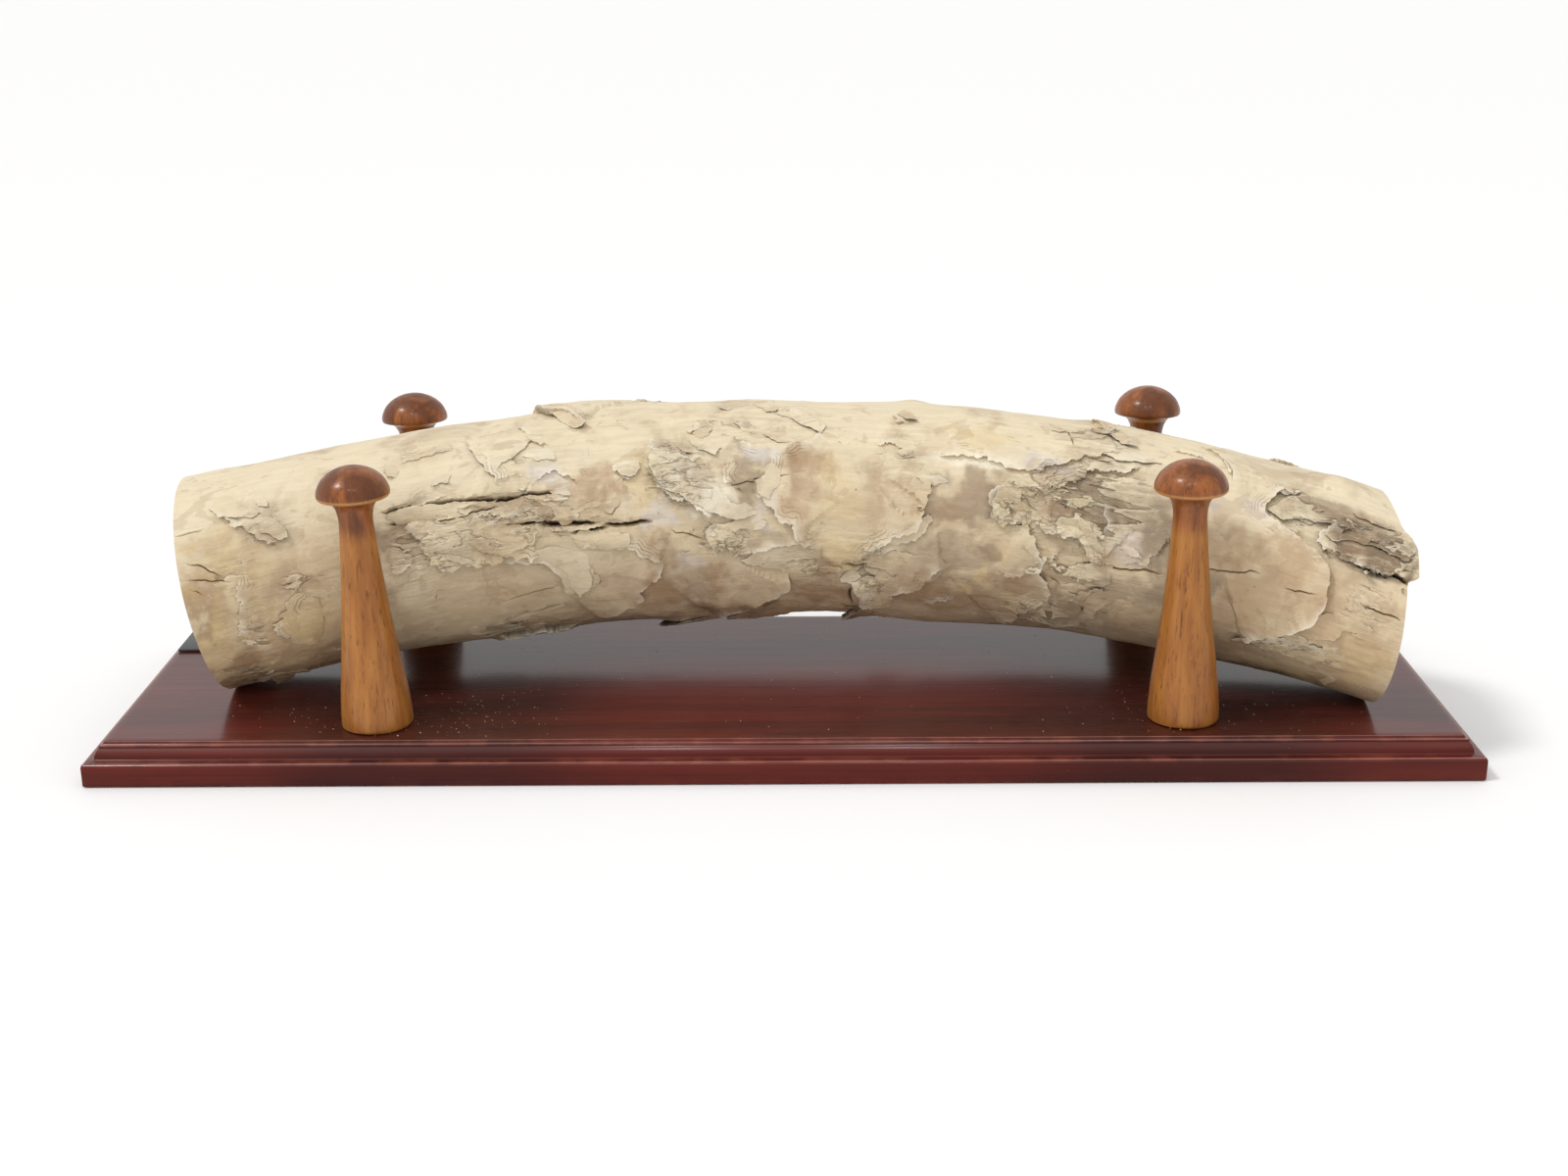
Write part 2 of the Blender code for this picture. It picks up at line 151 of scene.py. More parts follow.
# long fibres or pores: noise drawn out along one way
grainGroup, given, put = shaderGroup(
    "grain",
    {"Vector": unmoved, "Stretch": unstretched, "Scale": 100.0, "Low": 0.35, "High": 0.65},
    ["Mask", "Fine"],
)
drawn = stretched(grainGroup, given["Vector"], given["Stretch"])
coarse = noiseAt(grainGroup, drawn, given["Scale"], 5.0, 0.62, 0.3)[0]
join(grainGroup, ramp(grainGroup, coarse, given["Low"], given["High"]), put["Mask"])
finer = noiseAt(grainGroup, drawn, times(grainGroup, given["Scale"], 4.0), 2.0, 0.5)[0]
join(grainGroup, finer, put["Fine"])

# broken hairline cracks: edges of drawn out cells, kept only in patches
hairGroup, given, put = shaderGroup(
    "hairlines",
    {"Vector": unmoved, "Stretch": unstretched, "Scale": 100.0, "Width": 0.03, "Amount": 0.5},
    ["Mask"],
)
warp = noiseAt(hairGroup, given["Vector"], 260.0, 4.0, 0.6)[1]
push = place(
    hairGroup, "ShaderNodeVectorMath", warp, (0.012, 0.006, 0.006), given["Vector"],
    operation="MULTIPLY_ADD",
).outputs[0]
cells = place(
    hairGroup, "ShaderNodeTexVoronoi", stretched(hairGroup, push, given["Stretch"]), None,
    given["Scale"], feature="DISTANCE_TO_EDGE",
)
edge = ramp(hairGroup, cells.outputs[0], 0.0, given["Width"], 1.0, 0.0)
where = noiseAt(hairGroup, given["Vector"], 55.0, 2.0)[0]
limit = minus(hairGroup, 1.0, given["Amount"])
kept = ramp(hairGroup, where, limit, plus(hairGroup, limit, 0.08))
join(hairGroup, times(hairGroup, edge, kept), put["Mask"])

# thin layers broken back by different amounts: a field cut into steps with sharp edges; Rim and Foot mark
# where painted highlight and painted shade go
layerGroup, given, put = shaderGroup(
    "broken_layers",
    {"Vector": unmoved, "Stretch": unstretched, "Scale": 40.0, "Count": 10.0},
    ["Height", "Rim", "Foot", "Pick"],
)
drawn = stretched(layerGroup, given["Vector"], given["Stretch"])
field = noiseAt(layerGroup, drawn, given["Scale"], 5.0, 0.52, 0.3)[0]
level = times(layerGroup, field, given["Count"])
whole = calc(layerGroup, "FLOOR", level)
part = minus(layerGroup, level, whole)
join(layerGroup, plus(layerGroup, whole, ramp(layerGroup, part, 0.0, 0.13)), put["Height"])
join(layerGroup, ramp(layerGroup, part, 0.10, 0.30, 1.0, 0.0), put["Rim"])
join(layerGroup, ramp(layerGroup, part, 0.80, 0.98), put["Foot"])
join(layerGroup, calc(layerGroup, "FRACT", times(layerGroup, whole, 0.618)), put["Pick"])

# small scattered specks: pits, pores, specks of dust
speckGroup, given, put = shaderGroup(
    "specks", {"Vector": unmoved, "Scale": 300.0, "Size": 0.2, "Amount": 0.3}, ["Mask"]
)
dots = place(speckGroup, "ShaderNodeTexVoronoi", given["Vector"], None, given["Scale"])
spot = ramp(speckGroup, dots.outputs[0], 0.0, given["Size"], 1.0, 0.0)
pick = place(speckGroup, "ShaderNodeSeparateColor", dots.outputs[1]).outputs[0]
chosen = calc(speckGroup, "LESS_THAN", pick, given["Amount"])
join(speckGroup, times(speckGroup, spot, chosen), put["Mask"])


def newMaterial(name):
    made = bpy.data.materials.new(name)
    made.use_nodes = True
    return made, made.node_tree, made.node_tree.nodes["Principled BSDF"].inputs


def bumped(tree, height, distance, before=None, strength=1.0):
    made = tree.nodes.new("ShaderNodeBump")
    join(tree, strength, made.inputs["Strength"])
    made.inputs["Distance"].default_value = distance
    join(tree, height, made.inputs["Height"])
    if before is not None:
        join(tree, before, made.inputs["Normal"])
    return made.outputs[0]


def objectCoords(tree):
    return tree.nodes.new("ShaderNodeTexCoord").outputs["Object"]


# The tusk's form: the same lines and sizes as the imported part. Its surface is laid out on a
# chart, with the distance along it one way and the angle round it the other: 0 in front, 90 on
# top, -90 underneath. The first three entries are power sums over the form length.
tusk = {
    "back": (38.3, 2.2, -70.0, -15.2, 0.6),
    "height": (92.0, -1.0, -28.8, -0.4, 1.5),
    "halfHeight": (53.1, -1.4, -2.9),
    "formLength": 300.0,
    "depthShare": 0.9,
    "leftEnd": (-281.0, -11.5, -1.0, 0.0),
    "rightEnd": (291.0, 25.0, -4.0, 5.5),
    "tongue": {"from": 29.5, "rise": 4.0, "to": 66.0, "fall": 20.0},
    "degree": 0.87,
    "radius": 48.0,
    "frontStep": 1.42,
    "backStep": 2.7,
    "jitter": 0.12,
    "bands": ((-179.0, -100.0, "backStep"), (-98.0, 112.0, "frontStep"), (114.0, 179.0, "backStep")),
    "ledgeRows": (-0.9, -0.14, 0.14, 0.9),
    "rowMargin": 1.6,
    "rowClear": 0.8,
    "spotMargin": 1.2,
    "rowShare": 0.87,
    "endStep": 2.0,
    "endFade": 3.0,
    "smooth": 38.0,
    "seed": 11,
}
boardTop = 19.0
degree = tusk["degree"]

# Ragged lines: the longest span left, and below which span a turn swings how many times as far.
raggedLook = {"step": 1.1, "toothSpan": 7.0, "teeth": 2.0}
# How a ledge shapes the surface beside it, and where its pale rim (partly a painted highlight) and its
# painted shade lie.
ledgeLook = {
    "within": 4.0,
    "taper": 7.0,
    "footReach": 0.4,
    "lipReach": 1.6,
    "lipWithin": 8.0,
    "footShift": 0.55,
    "curl": 0.22,
    "curlReach": 2.6,
    "footCurl": 0.5,
    "rimReach": 0.9,
    "shadeReach": (0.25, 0.2),
    "shade": (0.3, 0.14, 0.85),
    "shelf": 12.0,
    "shelfTaper": 0.3,
}
# How a crack opens: its width swells and narrows on the way, and it closes at both ends.
crackLook = {
    "share": 0.75,
    "ragged": 0.6,
    "within": (3.0, 2.0),
    "taper": 9.0,
    "swell": (0.8, 0.3, 0.5, 9.0),
    "closing": (0.35, 0.65),
    "fade": (1.6, 0.3, 0.7),
    "shade": (0.15, 0.62),
}
# The surface's own unevenness: long waves, rough skin, streaks, and steps of broken layers.
skinLook = {
    "longWave": (0.7, 37.0, 1.3, 2.0, 20.0),
    "shortWave": (0.5, 19.0, 23.0),
    "skin": (0.34, 15.0, 3, 1.6),
    "streak": (0.07, 0.34, 3.0, 2, 9.0),
    "stepSize": (11.0, 4, 2.2),
    "stepCount": 3.2,
    "stepEdge": (0.38, 0.24),
    "stepHeight": (0.05, 0.20, 0.8),
    "mostRough": 1.5,
}

# Ledges where a layer has flaked off, raised on the right of the way they run: height of the
# step, how far back it fades, how deep the foot is hollowed, how far the lip hangs over, how
# ragged the line is, then distance along the tusk and angle round it for each turn.
ledges = [
    (1.9, 16, 0.6, 1.3, 0.16, [(-241, 30), (-250, 31), (-256, 38), (-263.5, 43), (-263, 45), (-271, 56)]),
    (1.3, 18, 0.4, 0.6, 0.22, [(-236, -28), (-247, -28), (-249, -22), (-255, -15), (-243, -10), (-245, -7),
        (-237, 2)]),
    (0.9, 12, 0.3, 0.4, 0.20, [(-274, -19), (-270, -6), (-267, 3), (-268, 10), (-267, 17)]),
    (1.6, 26, 0.5, 1.0, 0.16, [(-138, 35), (-142, 48), (-147, 60), (-149, 69)]),
    (1.2, 18, 0.3, 0.7, 0.16, [(-112, 55), (-120, 60), (-122, 65), (-128, 75)]),
    (3.2, 30, 0.6, 1.4, 0.14, [(-93, 69), (-102, 80), (-113, 93), (-118, 105)]),
    (2.6, 26, 1.4, 1.6, 0.17, [(-122, -1), (-133, 0.5), (-145, -0.5), (-154, -1.5), (-163, 0.5), (-176, 3),
        (-178, 10), (-185, 23), (-181, 27)]),
    (1.8, 14, 0.6, 0.8, 0.08, [(-109, -31), (-111, -25), (-115, -13), (-121, -6), (-138, -4), (-150, -3)]),
    (1.3, 20, 0.5, 0.7, 0.12, [(-61, -13), (-66, -11), (-75, -4), (-85, -1.5), (-105, 1)]),
    (2.0, 26, 0.8, 1.1, 0.13, [(-61, -13), (-64, -17), (-69, -21), (-76, -28), (-74, -33), (-80, -40),
        (-88, -47), (-100, -52)]),
    (3.4, 13, 0.9, 1.6, 0.20, [(-33, 10.5), (-40, 15), (-47, 18.5), (-57, 24), (-63, 30.5), (-65, 36),
        (-66, 44), (-62, 51), (-61, 57)]),
    (1.8, 20, 0.6, 0.9, 0.15, [(-22, -8), (-32, -6), (-37, -3), (-39, 3), (-33, 8)]),
    (2.3, 24, 0.9, 1.2, 0.12, [(12, -4), (8, -1), (6, 7), (-3, 10.5), (-7, 16), (-13, 22), (-14, 29),
        (-8, 33), (-5, 38), (-7, 42)]),
    (1.6, 14, 0.8, 1.1, 0.10, [(18, -5), (12, -5), (0, -4.5), (-10, -7), (-19, -8.5), (-23, -10),
        (-28, -13)]),
    (3.2, 24, 1.2, 1.6, 0.08, [(2, -20), (2.5, -30), (-4, -36.5), (-12, -41), (-19, -47.5), (-30, -50),
        (-40, -56)]),
    (1.0, 18, 0.3, 0.5, 0.16, [(0, 47), (13, 49), (20, 59), (14, 67), (7, 72), (-2, 79)]),
    (2.0, 22, 0.8, 1.0, 0.16, [(76, 34), (74, 25), (69, 16), (71, 10), (66, 4), (57, 2), (54, -1),
        (47, -6.5), (42, -9), (41, -17)]),
    (2.3, 20, 0.9, 1.5, 0.10, [(86, -14), (81, -15), (77, -20), (70, -28), (56.5, -33), (57, -42),
        (43, -47), (41, -36), (36, -27)]),
    (1.5, 22, 0.4, 0.8, 0.14, [(165, 65), (156, 60), (146, 53), (137, 48), (127, 43), (110, 42), (90, 46),
        (76, 47)]),
    (2.0, 14, 0.9, 1.3, 0.17, [(128, 16), (119, 14.5), (110, 14.5), (107, 18), (105, 23), (108, 30),
        (112, 37)]),
    (1.5, 18, 0.5, 0.8, 0.18, [(176, 57), (160, 49), (147, 41.5), (138, 34.5), (125, 33)]),
    (2.6, 20, 1.4, 1.3, 0.16, [(166, -3), (157, 6), (151, 12), (139, 12), (128, 16)]),
    (2.2, 22, 1.0, 1.2, 0.17, [(119, 14.5), (126, 8), (136, -2), (134, -9), (139, -20), (139, -27),
        (128, -40), (112, -58)]),
    (1.6, 20, 0.4, 0.8, 0.14, [(168, 70), (160, 76), (153, 82), (145, 94)]),
    (1.8, 14, 0.7, 1.0, 0.16, [(149, -30), (155, -23), (162, -17), (172, -16)]),
    (2.3, 26, 1.2, 1.5, 0.08, [(243, 68), (239, 56), (236, 47), (237, 43), (245, 39.5), (254, 35.5),
        (263, 31), (271, 26), (275, 20), (277, 6), (274, -4), (267, -10), (259, -15), (248, -21),
        (238, -27.5)]),
    (3.4, 16, 1.4, 1.8, 0.16, [(314, 31), (298, 31), (284, 32), (270, 34), (267, 41), (272, 49),
        (280, 53)]),
    (2.2, 16, 0.8, 1.2, 0.18, [(-150, -64), (-128, -62), (-108, -64)]),
    (2.2, 24, 0.8, 1.1, 0.15, [(-60, 112), (-75, 122), (-92, 128), (-96, 140), (-120, 146)]),
    (2.0, 20, 0.8, 1.1, 0.15, [(40, 125), (22, 131), (15, 145), (-12, 150), (-20, 162)]),
    (1.8, 20, 0.6, 0.9, 0.15, [(170, 110), (150, 118), (146, 130), (120, 138)]),
    (2.0, 20, 0.8, 1.0, 0.15, [(250, 150), (236, 140), (240, 122), (225, 112)]),
    (1.6, 18, 0.5, 0.8, 0.15, [(-205, 150), (-222, 142), (-225, 128), (-240, 120)]),
    (2.0, 20, 0.8, 1.0, 0.15, [(-120, -118), (-128, -132), (-150, -128), (-170, -140)]),
    (2.0, 20, 0.8, 1.0, 0.15, [(40, -120), (66, -126), (70, -140), (90, -150)]),
    (2.0, 20, 0.8, 1.0, 0.15, [(-30, -150), (-50, -142), (-58, -128), (-82, -124)]),
    (2.0, 20, 0.8, 1.0, 0.15, [(200, -110), (190, -124), (166, -130), (160, -146)]),
    # smaller ones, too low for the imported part
    (0.8, 9, 0.2, 0.5, 0.14, [(-245, 47), (-246, 49), (-250, 52), (-251, 57)]),
    (0.9, 10, 0.3, 0.6, 0.14, [(-241, 34), (-246, 38), (-254, 42)]),
    (0.8, 10, 0.3, 0.5, 0.12, [(-185, 51), (-188, 52), (-190, 52), (-191, 56), (-192, 62)]),
    (0.5, 8, 0.1, 0.3, 0.08, [(-155, 64), (-170, 62), (-185, 60)]),
    (1.0, 9, 0.4, 0.6, 0.14, [(-183, 6), (-190, 2), (-198, 1)]),
    (1.1, 10, 0.4, 0.7, 0.16, [(-100, 31), (-105, 38), (-115, 40), (-122, 36)]),
    (0.9, 9, 0.3, 0.6, 0.14, [(-99, -8), (-98, -15), (-96, -22), (-107, -30)]),
    (1.1, 8, 0.3, 0.8, 0.20, [(-72, 35), (-81, 33), (-83, 40), (-77, 43)]),
    (1.0, 8, 0.4, 0.7, 0.16, [(-33, 59), (-38, 60), (-45, 58), (-46, 63)]),
    (0.9, 8, 0.3, 0.6, 0.14, [(-17, 56), (-22, 63), (-24, 73)]),
    (0.8, 10, 0.3, 0.5, 0.14, [(-24, 50), (-14, 47), (-4, 46)]),
    (0.9, 9, 0.3, 0.6, 0.18, [(62, 46), (55, 51), (44, 52)]),
    (1.2, 8, 0.4, 0.8, 0.16, [(62, 65), (55, 66), (53, 73), (57, 76)]),
    (1.3, 9, 0.5, 1.0, 0.14, [(61, -9), (55, -6), (45, -7)]),
    (1.2, 9, 0.5, 0.9, 0.14, [(36, -26), (43, -25), (50, -23)]),
    (0.9, 12, 0.3, 0.6, 0.18, [(199, 22), (192, 12), (186, 3), (176, 0)]),
    (0.8, 10, 0.3, 0.5, 0.12, [(218, 57), (218, 63), (209, 78), (198, 88)]),
    (0.6, 9, 0.1, 0.4, 0.10, [(163, 12), (165, 22), (160, 32)]),
    (1.0, 8, 0.4, 0.7, 0.18, [(160, -45), (148, -52), (138, -60)]),
    (1.4, 8, 0.4, 0.9, 0.16, [(312, 45), (298, 43), (284, 41)]),
    (1.0, 8, 0.4, 0.7, 0.14, [(290, 55), (279, 47), (270, 41)]),
    (0.9, 10, 0.3, 0.6, 0.12, [(291, -18), (279, -16), (262, -19), (250, -25), (238, -30)]),
    (0.7, 8, 0.2, 0.5, 0.14, [(-268, -50), (-262, -44), (-256, -36)]),
    (0.8, 9, 0.2, 0.5, 0.16, [(-232, -38), (-224, -44), (-214, -40)]),
    (0.9, 9, 0.3, 0.6, 0.18, [(-150, 14), (-160, 10), (-172, 11)]),
    (0.9, 8, 0.3, 0.6, 0.18, [(-118, 8), (-128, 6), (-140, 9)]),
    (0.8, 8, 0.2, 0.5, 0.16, [(-128, 20), (-142, 22), (-155, 20)]),
    (0.9, 10, 0.3, 0.6, 0.16, [(-20, 20), (-28, 27), (-30, 36), (-24, 42)]),
    (0.7, 8, 0.2, 0.5, 0.16, [(92, -36), (82, -38), (72, -44)]),
    (0.8, 8, 0.3, 0.5, 0.18, [(128, -12), (120, -16), (112, -14)]),
    (0.9, 8, 0.3, 0.6, 0.18, [(146, 4), (140, -4), (144, -12)]),
    (0.7, 8, 0.2, 0.5, 0.14, [(206, 70), (196, 74), (186, 72)]),
    (0.7, 8, 0.2, 0.5, 0.16, [(300, -8), (292, -4), (284, -6)]),
]
# Cracks: half width, depth, how ragged, then the turns.
cracks = [
    (0.6, 1.4, 0.14, [(-292, 43), (-283, 44), (-274, 43)]),
    (0.7, 1.8, 0.14, [(-290, 29), (-281, 25), (-276, 20), (-271, 16)]),
    (0.6, 1.5, 0.14, [(-291, 19), (-280, 17), (-268, 13)]),
    (0.6, 1.5, 0.14, [(-290, 15), (-286, 13), (-282, 8)]),
    (0.8, 2.4, 0.14, [(-250, 6.5), (-240, 6), (-232, 6)]),
    (0.6, 1.5, 0.16, [(-250, 4), (-244, 4), (-239, 1)]),
    (1.4, 4.5, 0.12, [(-198, 33), (-188, 34), (-179, 35), (-171, 34.5)]),
    (1.7, 5.5, 0.12, [(-178, 33), (-168, 32.5), (-159, 32), (-148, 31), (-143, 31)]),
    (2.0, 6.0, 0.12, [(-154, 32), (-144, 30), (-136, 29), (-126, 29)]),
    (1.3, 4.5, 0.12, [(-133, 31), (-124, 30.5), (-116, 30), (-108, 28)]),
    (1.2, 3.8, 0.12, [(-196, 26), (-184, 26.5), (-174, 28)]),
    (1.0, 3.4, 0.12, [(-180, 29), (-170, 29), (-158, 30)]),
    (0.7, 2.0, 0.16, [(-178, 22), (-166, 23), (-154, 25), (-138, 25)]),
    (1.5, 5.0, 0.10, [(-144, 15.2), (-134, 15.3), (-124, 16), (-114, 14)]),
    (2.2, 6.5, 0.10, [(-124, 13.8), (-112, 13), (-100, 12), (-90, 11.8)]),
    (1.4, 5.0, 0.10, [(-109, 8.5), (-102, 7.5), (-96, 8.5), (-86, 9.4)]),
    (1.7, 5.5, 0.10, [(-93, 9.6), (-82, 9.8), (-75, 9.7), (-64, 9.4)]),
    (0.6, 1.6, 0.18, [(-197, 14), (-190, 13), (-183, 8)]),
    (0.6, 1.6, 0.18, [(-160, 6), (-150, 8), (-141, 5), (-130, 7)]),
    (0.6, 1.5, 0.20, [(-92, 18), (-86, 15), (-82, 19), (-80, 24)]),
    (0.7, 2.6, 0.10, [(-146, -30), (-133, -26), (-125, -24), (-115, -22)]),
    (1.5, 5.5, 0.10, [(-153, -47), (-141, -43.5), (-129, -40), (-113, -35)]),
    (0.8, 2.4, 0.16, [(-60, 53), (-53, 48), (-50, 46), (-44, 40)]),
    (0.7, 2.0, 0.20, [(-58, 38), (-52, 33), (-44, 30), (-38, 24)]),
    (0.6, 1.8, 0.20, [(-52, 27), (-44, 24), (-36, 18)]),
    (0.5, 1.4, 0.12, [(-30, 25), (-18, 28), (-6, 29), (6, 31)]),
    (0.6, 1.6, 0.16, [(-60, 6), (-48, 2), (-38, -3)]),
    (0.6, 1.6, 0.16, [(123, 82), (131, 76), (137, 72), (140, 65), (143, 58)]),
    (1.0, 3.2, 0.12, [(146, 92), (150, 86), (156, 80)]),
    (0.7, 1.6, 0.26, [(-286, -36), (-278, -42), (-270, -41), (-262, -49)]),
    (0.7, 1.6, 0.26, [(-284, -52), (-275, -56), (-266, -53), (-258, -57)]),
    (0.6, 1.3, 0.26, [(-284, -26), (-276, -31), (-269, -28)]),
    (0.6, 1.3, 0.26, [(-274, -64), (-266, -66), (-256, -64)]),
    (1.7, 3.2, 0.10, [(29, -16.5), (38, -17.5), (48, -18)]),
    (1.4, 3.0, 0.10, [(36, -31), (35, -41), (38, -54)]),
    (0.9, 2.8, 0.14, [(152, -3.5), (162, -2), (170, -1.5), (187, 0), (198, -0.5)]),
    (0.6, 1.8, 0.14, [(205, 3), (214, 8), (231, 10), (246, 13)]),
    (0.6, 1.6, 0.14, [(198, 88), (209, 78), (215, 70), (218, 63), (218, 57)]),
    (1.3, 4.5, 0.14, [(282, 30), (298, 29.5), (314, 29)]),
    (0.7, 2.4, 0.14, [(291, 13), (296, 10), (303, 9.5), (316, 8)]),
    (0.6, 1.8, 0.14, [(254, 8), (262, 8.5), (275, 10)]),
    (0.6, 1.6, 0.14, [(285, -35), (297, -40), (309, -44)]),
    (0.8, 2.0, 0.16, [(286, 47), (300, 48), (312, 44)]),
    (0.8, 2.0, 0.16, [(284, 37), (296, 38), (313, 36)]),
    (0.9, 3.0, 0.16, [(-64, 152), (-40, 148), (-14, 147)]),
    (0.7, 2.6, 0.16, [(-24, 144), (6, 148), (30, 153), (58, 151)]),
    (0.7, 2.6, 0.16, [(-128, 171), (-92, 167), (-60, 171)]),
    (0.9, 3.0, 0.16, [(-24, -160), (10, -163), (40, -166)]),
    (0.7, 2.4, 0.16, [(30, -169), (60, -166), (92, -162)]),
    (0.7, 2.6, 0.16, [(196, 140), (228, 133), (262, 137)]),
    (0.6, 2.0, 0.16, [(-230, -120), (-190, -112), (-160, -115)]),
]
# Hollows and swellings: where, how long and how wide in mm, how high.
swellings = [
    (-190, 17, 12, 10, -3.0), (-160, 4, 6, 3, -2.2), (-60, 48, 8, 7, 1.6), (-23, -11, 4, 3, -2.5),
    (45, -20, 5, 3, -3.2), (127, 27, 5, 4, -3.0), (148, 3, 12, 6, -2.6), (158, -34, 4, 3, -2.6),
    (168, 27, 22, 16, -1.4), (-155, -20, 32, 18, -1.3), (290, 45, 14, 6, 2.2), (262, 88, 12, 12, 2.2),
    (302, 92, 18, 34, -5.5), (-90, 105, 26, 20, 2.4), (-10, 104, 18, 14, 1.4), (62, 104, 8, 14, 1.8),
    (148, 100, 8, 12, 1.6), (-55, -72, 8, 8, 1.8), (40, -66, 6, 6, -2.4), (-215, 60, 45, 40, 0.9),
    (-70, -30, 50, 30, 0.8), (90, 60, 60, 30, 0.9), (230, 0, 40, 40, 0.8), (0, 170, 80, 50, -1.2),
    (-140, 190, 60, 40, 0.9), (150, 160, 70, 40, -1.0), (-186, 174, 34, 34, -7.0), (190, 174, 34, 34, -2.0),
    (-26, -74, 38, 14, 1.5), (66, -72, 34, 14, 2.2),
]
# Rough and flaky places: where, how long and how wide in mm, how strong.
roughPlaces = [
    (-165, 12, 34, 14, 1.0), (-130, 20, 34, 12, 0.9), (-185, 8, 16, 16, 0.8), (-52, 34, 16, 15, 1.2),
    (-30, -2, 16, 8, 0.9), (8, -16, 18, 12, 0.6), (45, -18, 12, 16, 0.8), (62, 40, 14, 22, 0.5),
    (150, 30, 34, 20, 1.3), (116, 24, 10, 14, 0.9), (150, -8, 24, 14, 0.8), (135, -40, 22, 18, 0.7),
    (291, 44, 26, 13, 1.5), (250, 52, 14, 16, 0.9), (296, 12, 18, 16, 0.7), (268, -24, 26, 8, 1.0),
    (-262, -14, 4, 22, 0.62), (-266, -60, 18, 6, 0.9), (-274, -48, 12, 9, 0.95), (-240, 6, 14, 6, 0.7),
    (-268, 0, 12, 30, 0.5), (-250, 38, 14, 9, 0.8), (-135, -54, 22, 8, 1.2), (-120, 44, 26, 16, 0.4),
    (-20, 62, 34, 16, 0.5), (150, 72, 20, 12, 0.9), (-60, 130, 60, 24, 0.7), (90, 140, 70, 24, 0.7),
    (-180, 140, 50, 20, 0.6), (220, 130, 50, 24, 0.7), (-120, -130, 60, 20, 0.7), (120, -130, 60, 20, 0.7),
    (-40, -72, 40, 10, 0.8), (40, -62, 14, 12, 0.8),
]


def powerSum(terms, share):
    return sum(value * share**power for power, value in enumerate(terms))


def ease(value):
    value = np.clip(value, 0.0, 1.0)
    return value * value * (3.0 - 2.0 * value)


lineX = np.linspace(-330.0, 330.0, 2641)
lineY = powerSum(tusk["back"], lineX / tusk["formLength"])
lineZ = powerSum(tusk["height"], lineX / tusk["formLength"])
lineStep = np.sqrt(np.diff(lineX) ** 2 + np.diff(lineY) ** 2 + np.diff(lineZ) ** 2)
lineAlong = np.concatenate([[0.0], np.cumsum(lineStep)])
lineAlong -= np.interp(0.0, lineX, lineAlong)


def endAt(end, angle):
    # the last number is how far a splintered tongue reaches beyond the cut
    turn = np.radians(angle)
    tongue = ease((angle - tusk["tongue"]["from"]) / tusk["tongue"]["rise"])
    tongue = tongue * ease((tusk["tongue"]["to"] - angle) / tusk["tongue"]["fall"])
    return end[0] + end[1] * np.cos(turn) + end[2] * np.sin(turn) + end[3] * tongue


def insideEnds(spots, margin):
    angle = spots[:, 1] / degree
    return (spots[:, 0] > endAt(tusk["leftEnd"], angle) + margin) & (
        spots[:, 0] < endAt(tusk["rightEnd"], angle) - margin
    )


def unit(ways):
    return ways / np.linalg.norm(ways, axis=-1, keepdims=True)


def tuskPoint(along, angle, lift):
    turn = np.radians(angle)
    x = np.interp(along, lineAlong, lineX)
    here, there = (
        np.stack([at, np.interp(at, lineX, lineY), np.interp(at, lineX, lineZ)], axis=-1)
        for at in (x, x + 1.0)
    )
    way = unit(there - here)
    up = unit(np.array([0.0, 0.0, 1.0]) - way[..., 2:3] * way)
    back = np.cross(up, way)
    half = powerSum(tusk["halfHeight"], x / tusk["formLength"])
    rise = (half + lift) * np.sin(turn)
    front = (half * tusk["depthShare"] + lift) * np.cos(turn)
    return here + rise[..., None] * up - front[..., None] * back


def straightened(spots, lift):
    # the same spots on a straight round tusk, for noise that follows the real one
    turn = spots[:, 1] / degree * math.pi / 180.0
    radius = tusk["radius"] + lift
    return np.stack([spots[:, 0], -radius * np.cos(turn), radius * np.sin(turn)], axis=1)


def flat(points):
    return np.array([(along, angle * degree) for along, angle in points], float)


def ragged(points, amount, seed, teeth=raggedLook["teeth"]):
    # splits a line again and again at points that swing aside, until its spans are short
    dice = np.random.default_rng(seed)
    line = flat(points)
    while True:
        spans = np.linalg.norm(np.diff(line, axis=0), axis=1)
        if spans.max() <= raggedLook["step"]:
            return line
        turns = [line[0]]
        for start, stop, span in zip(line[:-1], line[1:], spans):
            if span > raggedLook["step"]:
                across = np.array([start[1] - stop[1], stop[0] - start[0]])
                swing = amount * (1.0 if span > raggedLook["toothSpan"] else teeth)
                turns.append((start + stop) / 2 + swing * dice.uniform(-1, 1) * across)
            turns.append(stop)
        line = np.array(turns)


def leftOf(line, widest=9):
    # the way to the left of a line at each of its points, smoothed over some neighbours
    ways = np.gradient(line, axis=0)
    reach = min(widest, len(line) // 2 * 2 - 1)
    padded = np.pad(ways, ((reach // 2, reach // 2), (0, 0)), mode="edge")
    kernel = np.ones(reach) / reach
    ways = np.stack([np.convolve(padded[:, i], kernel, "valid") for i in (0, 1)], axis=1)
    ways /= np.maximum(np.linalg.norm(ways, axis=1), 1e-6)[:, None]
    return np.stack([-ways[:, 1], ways[:, 0]], axis=1)


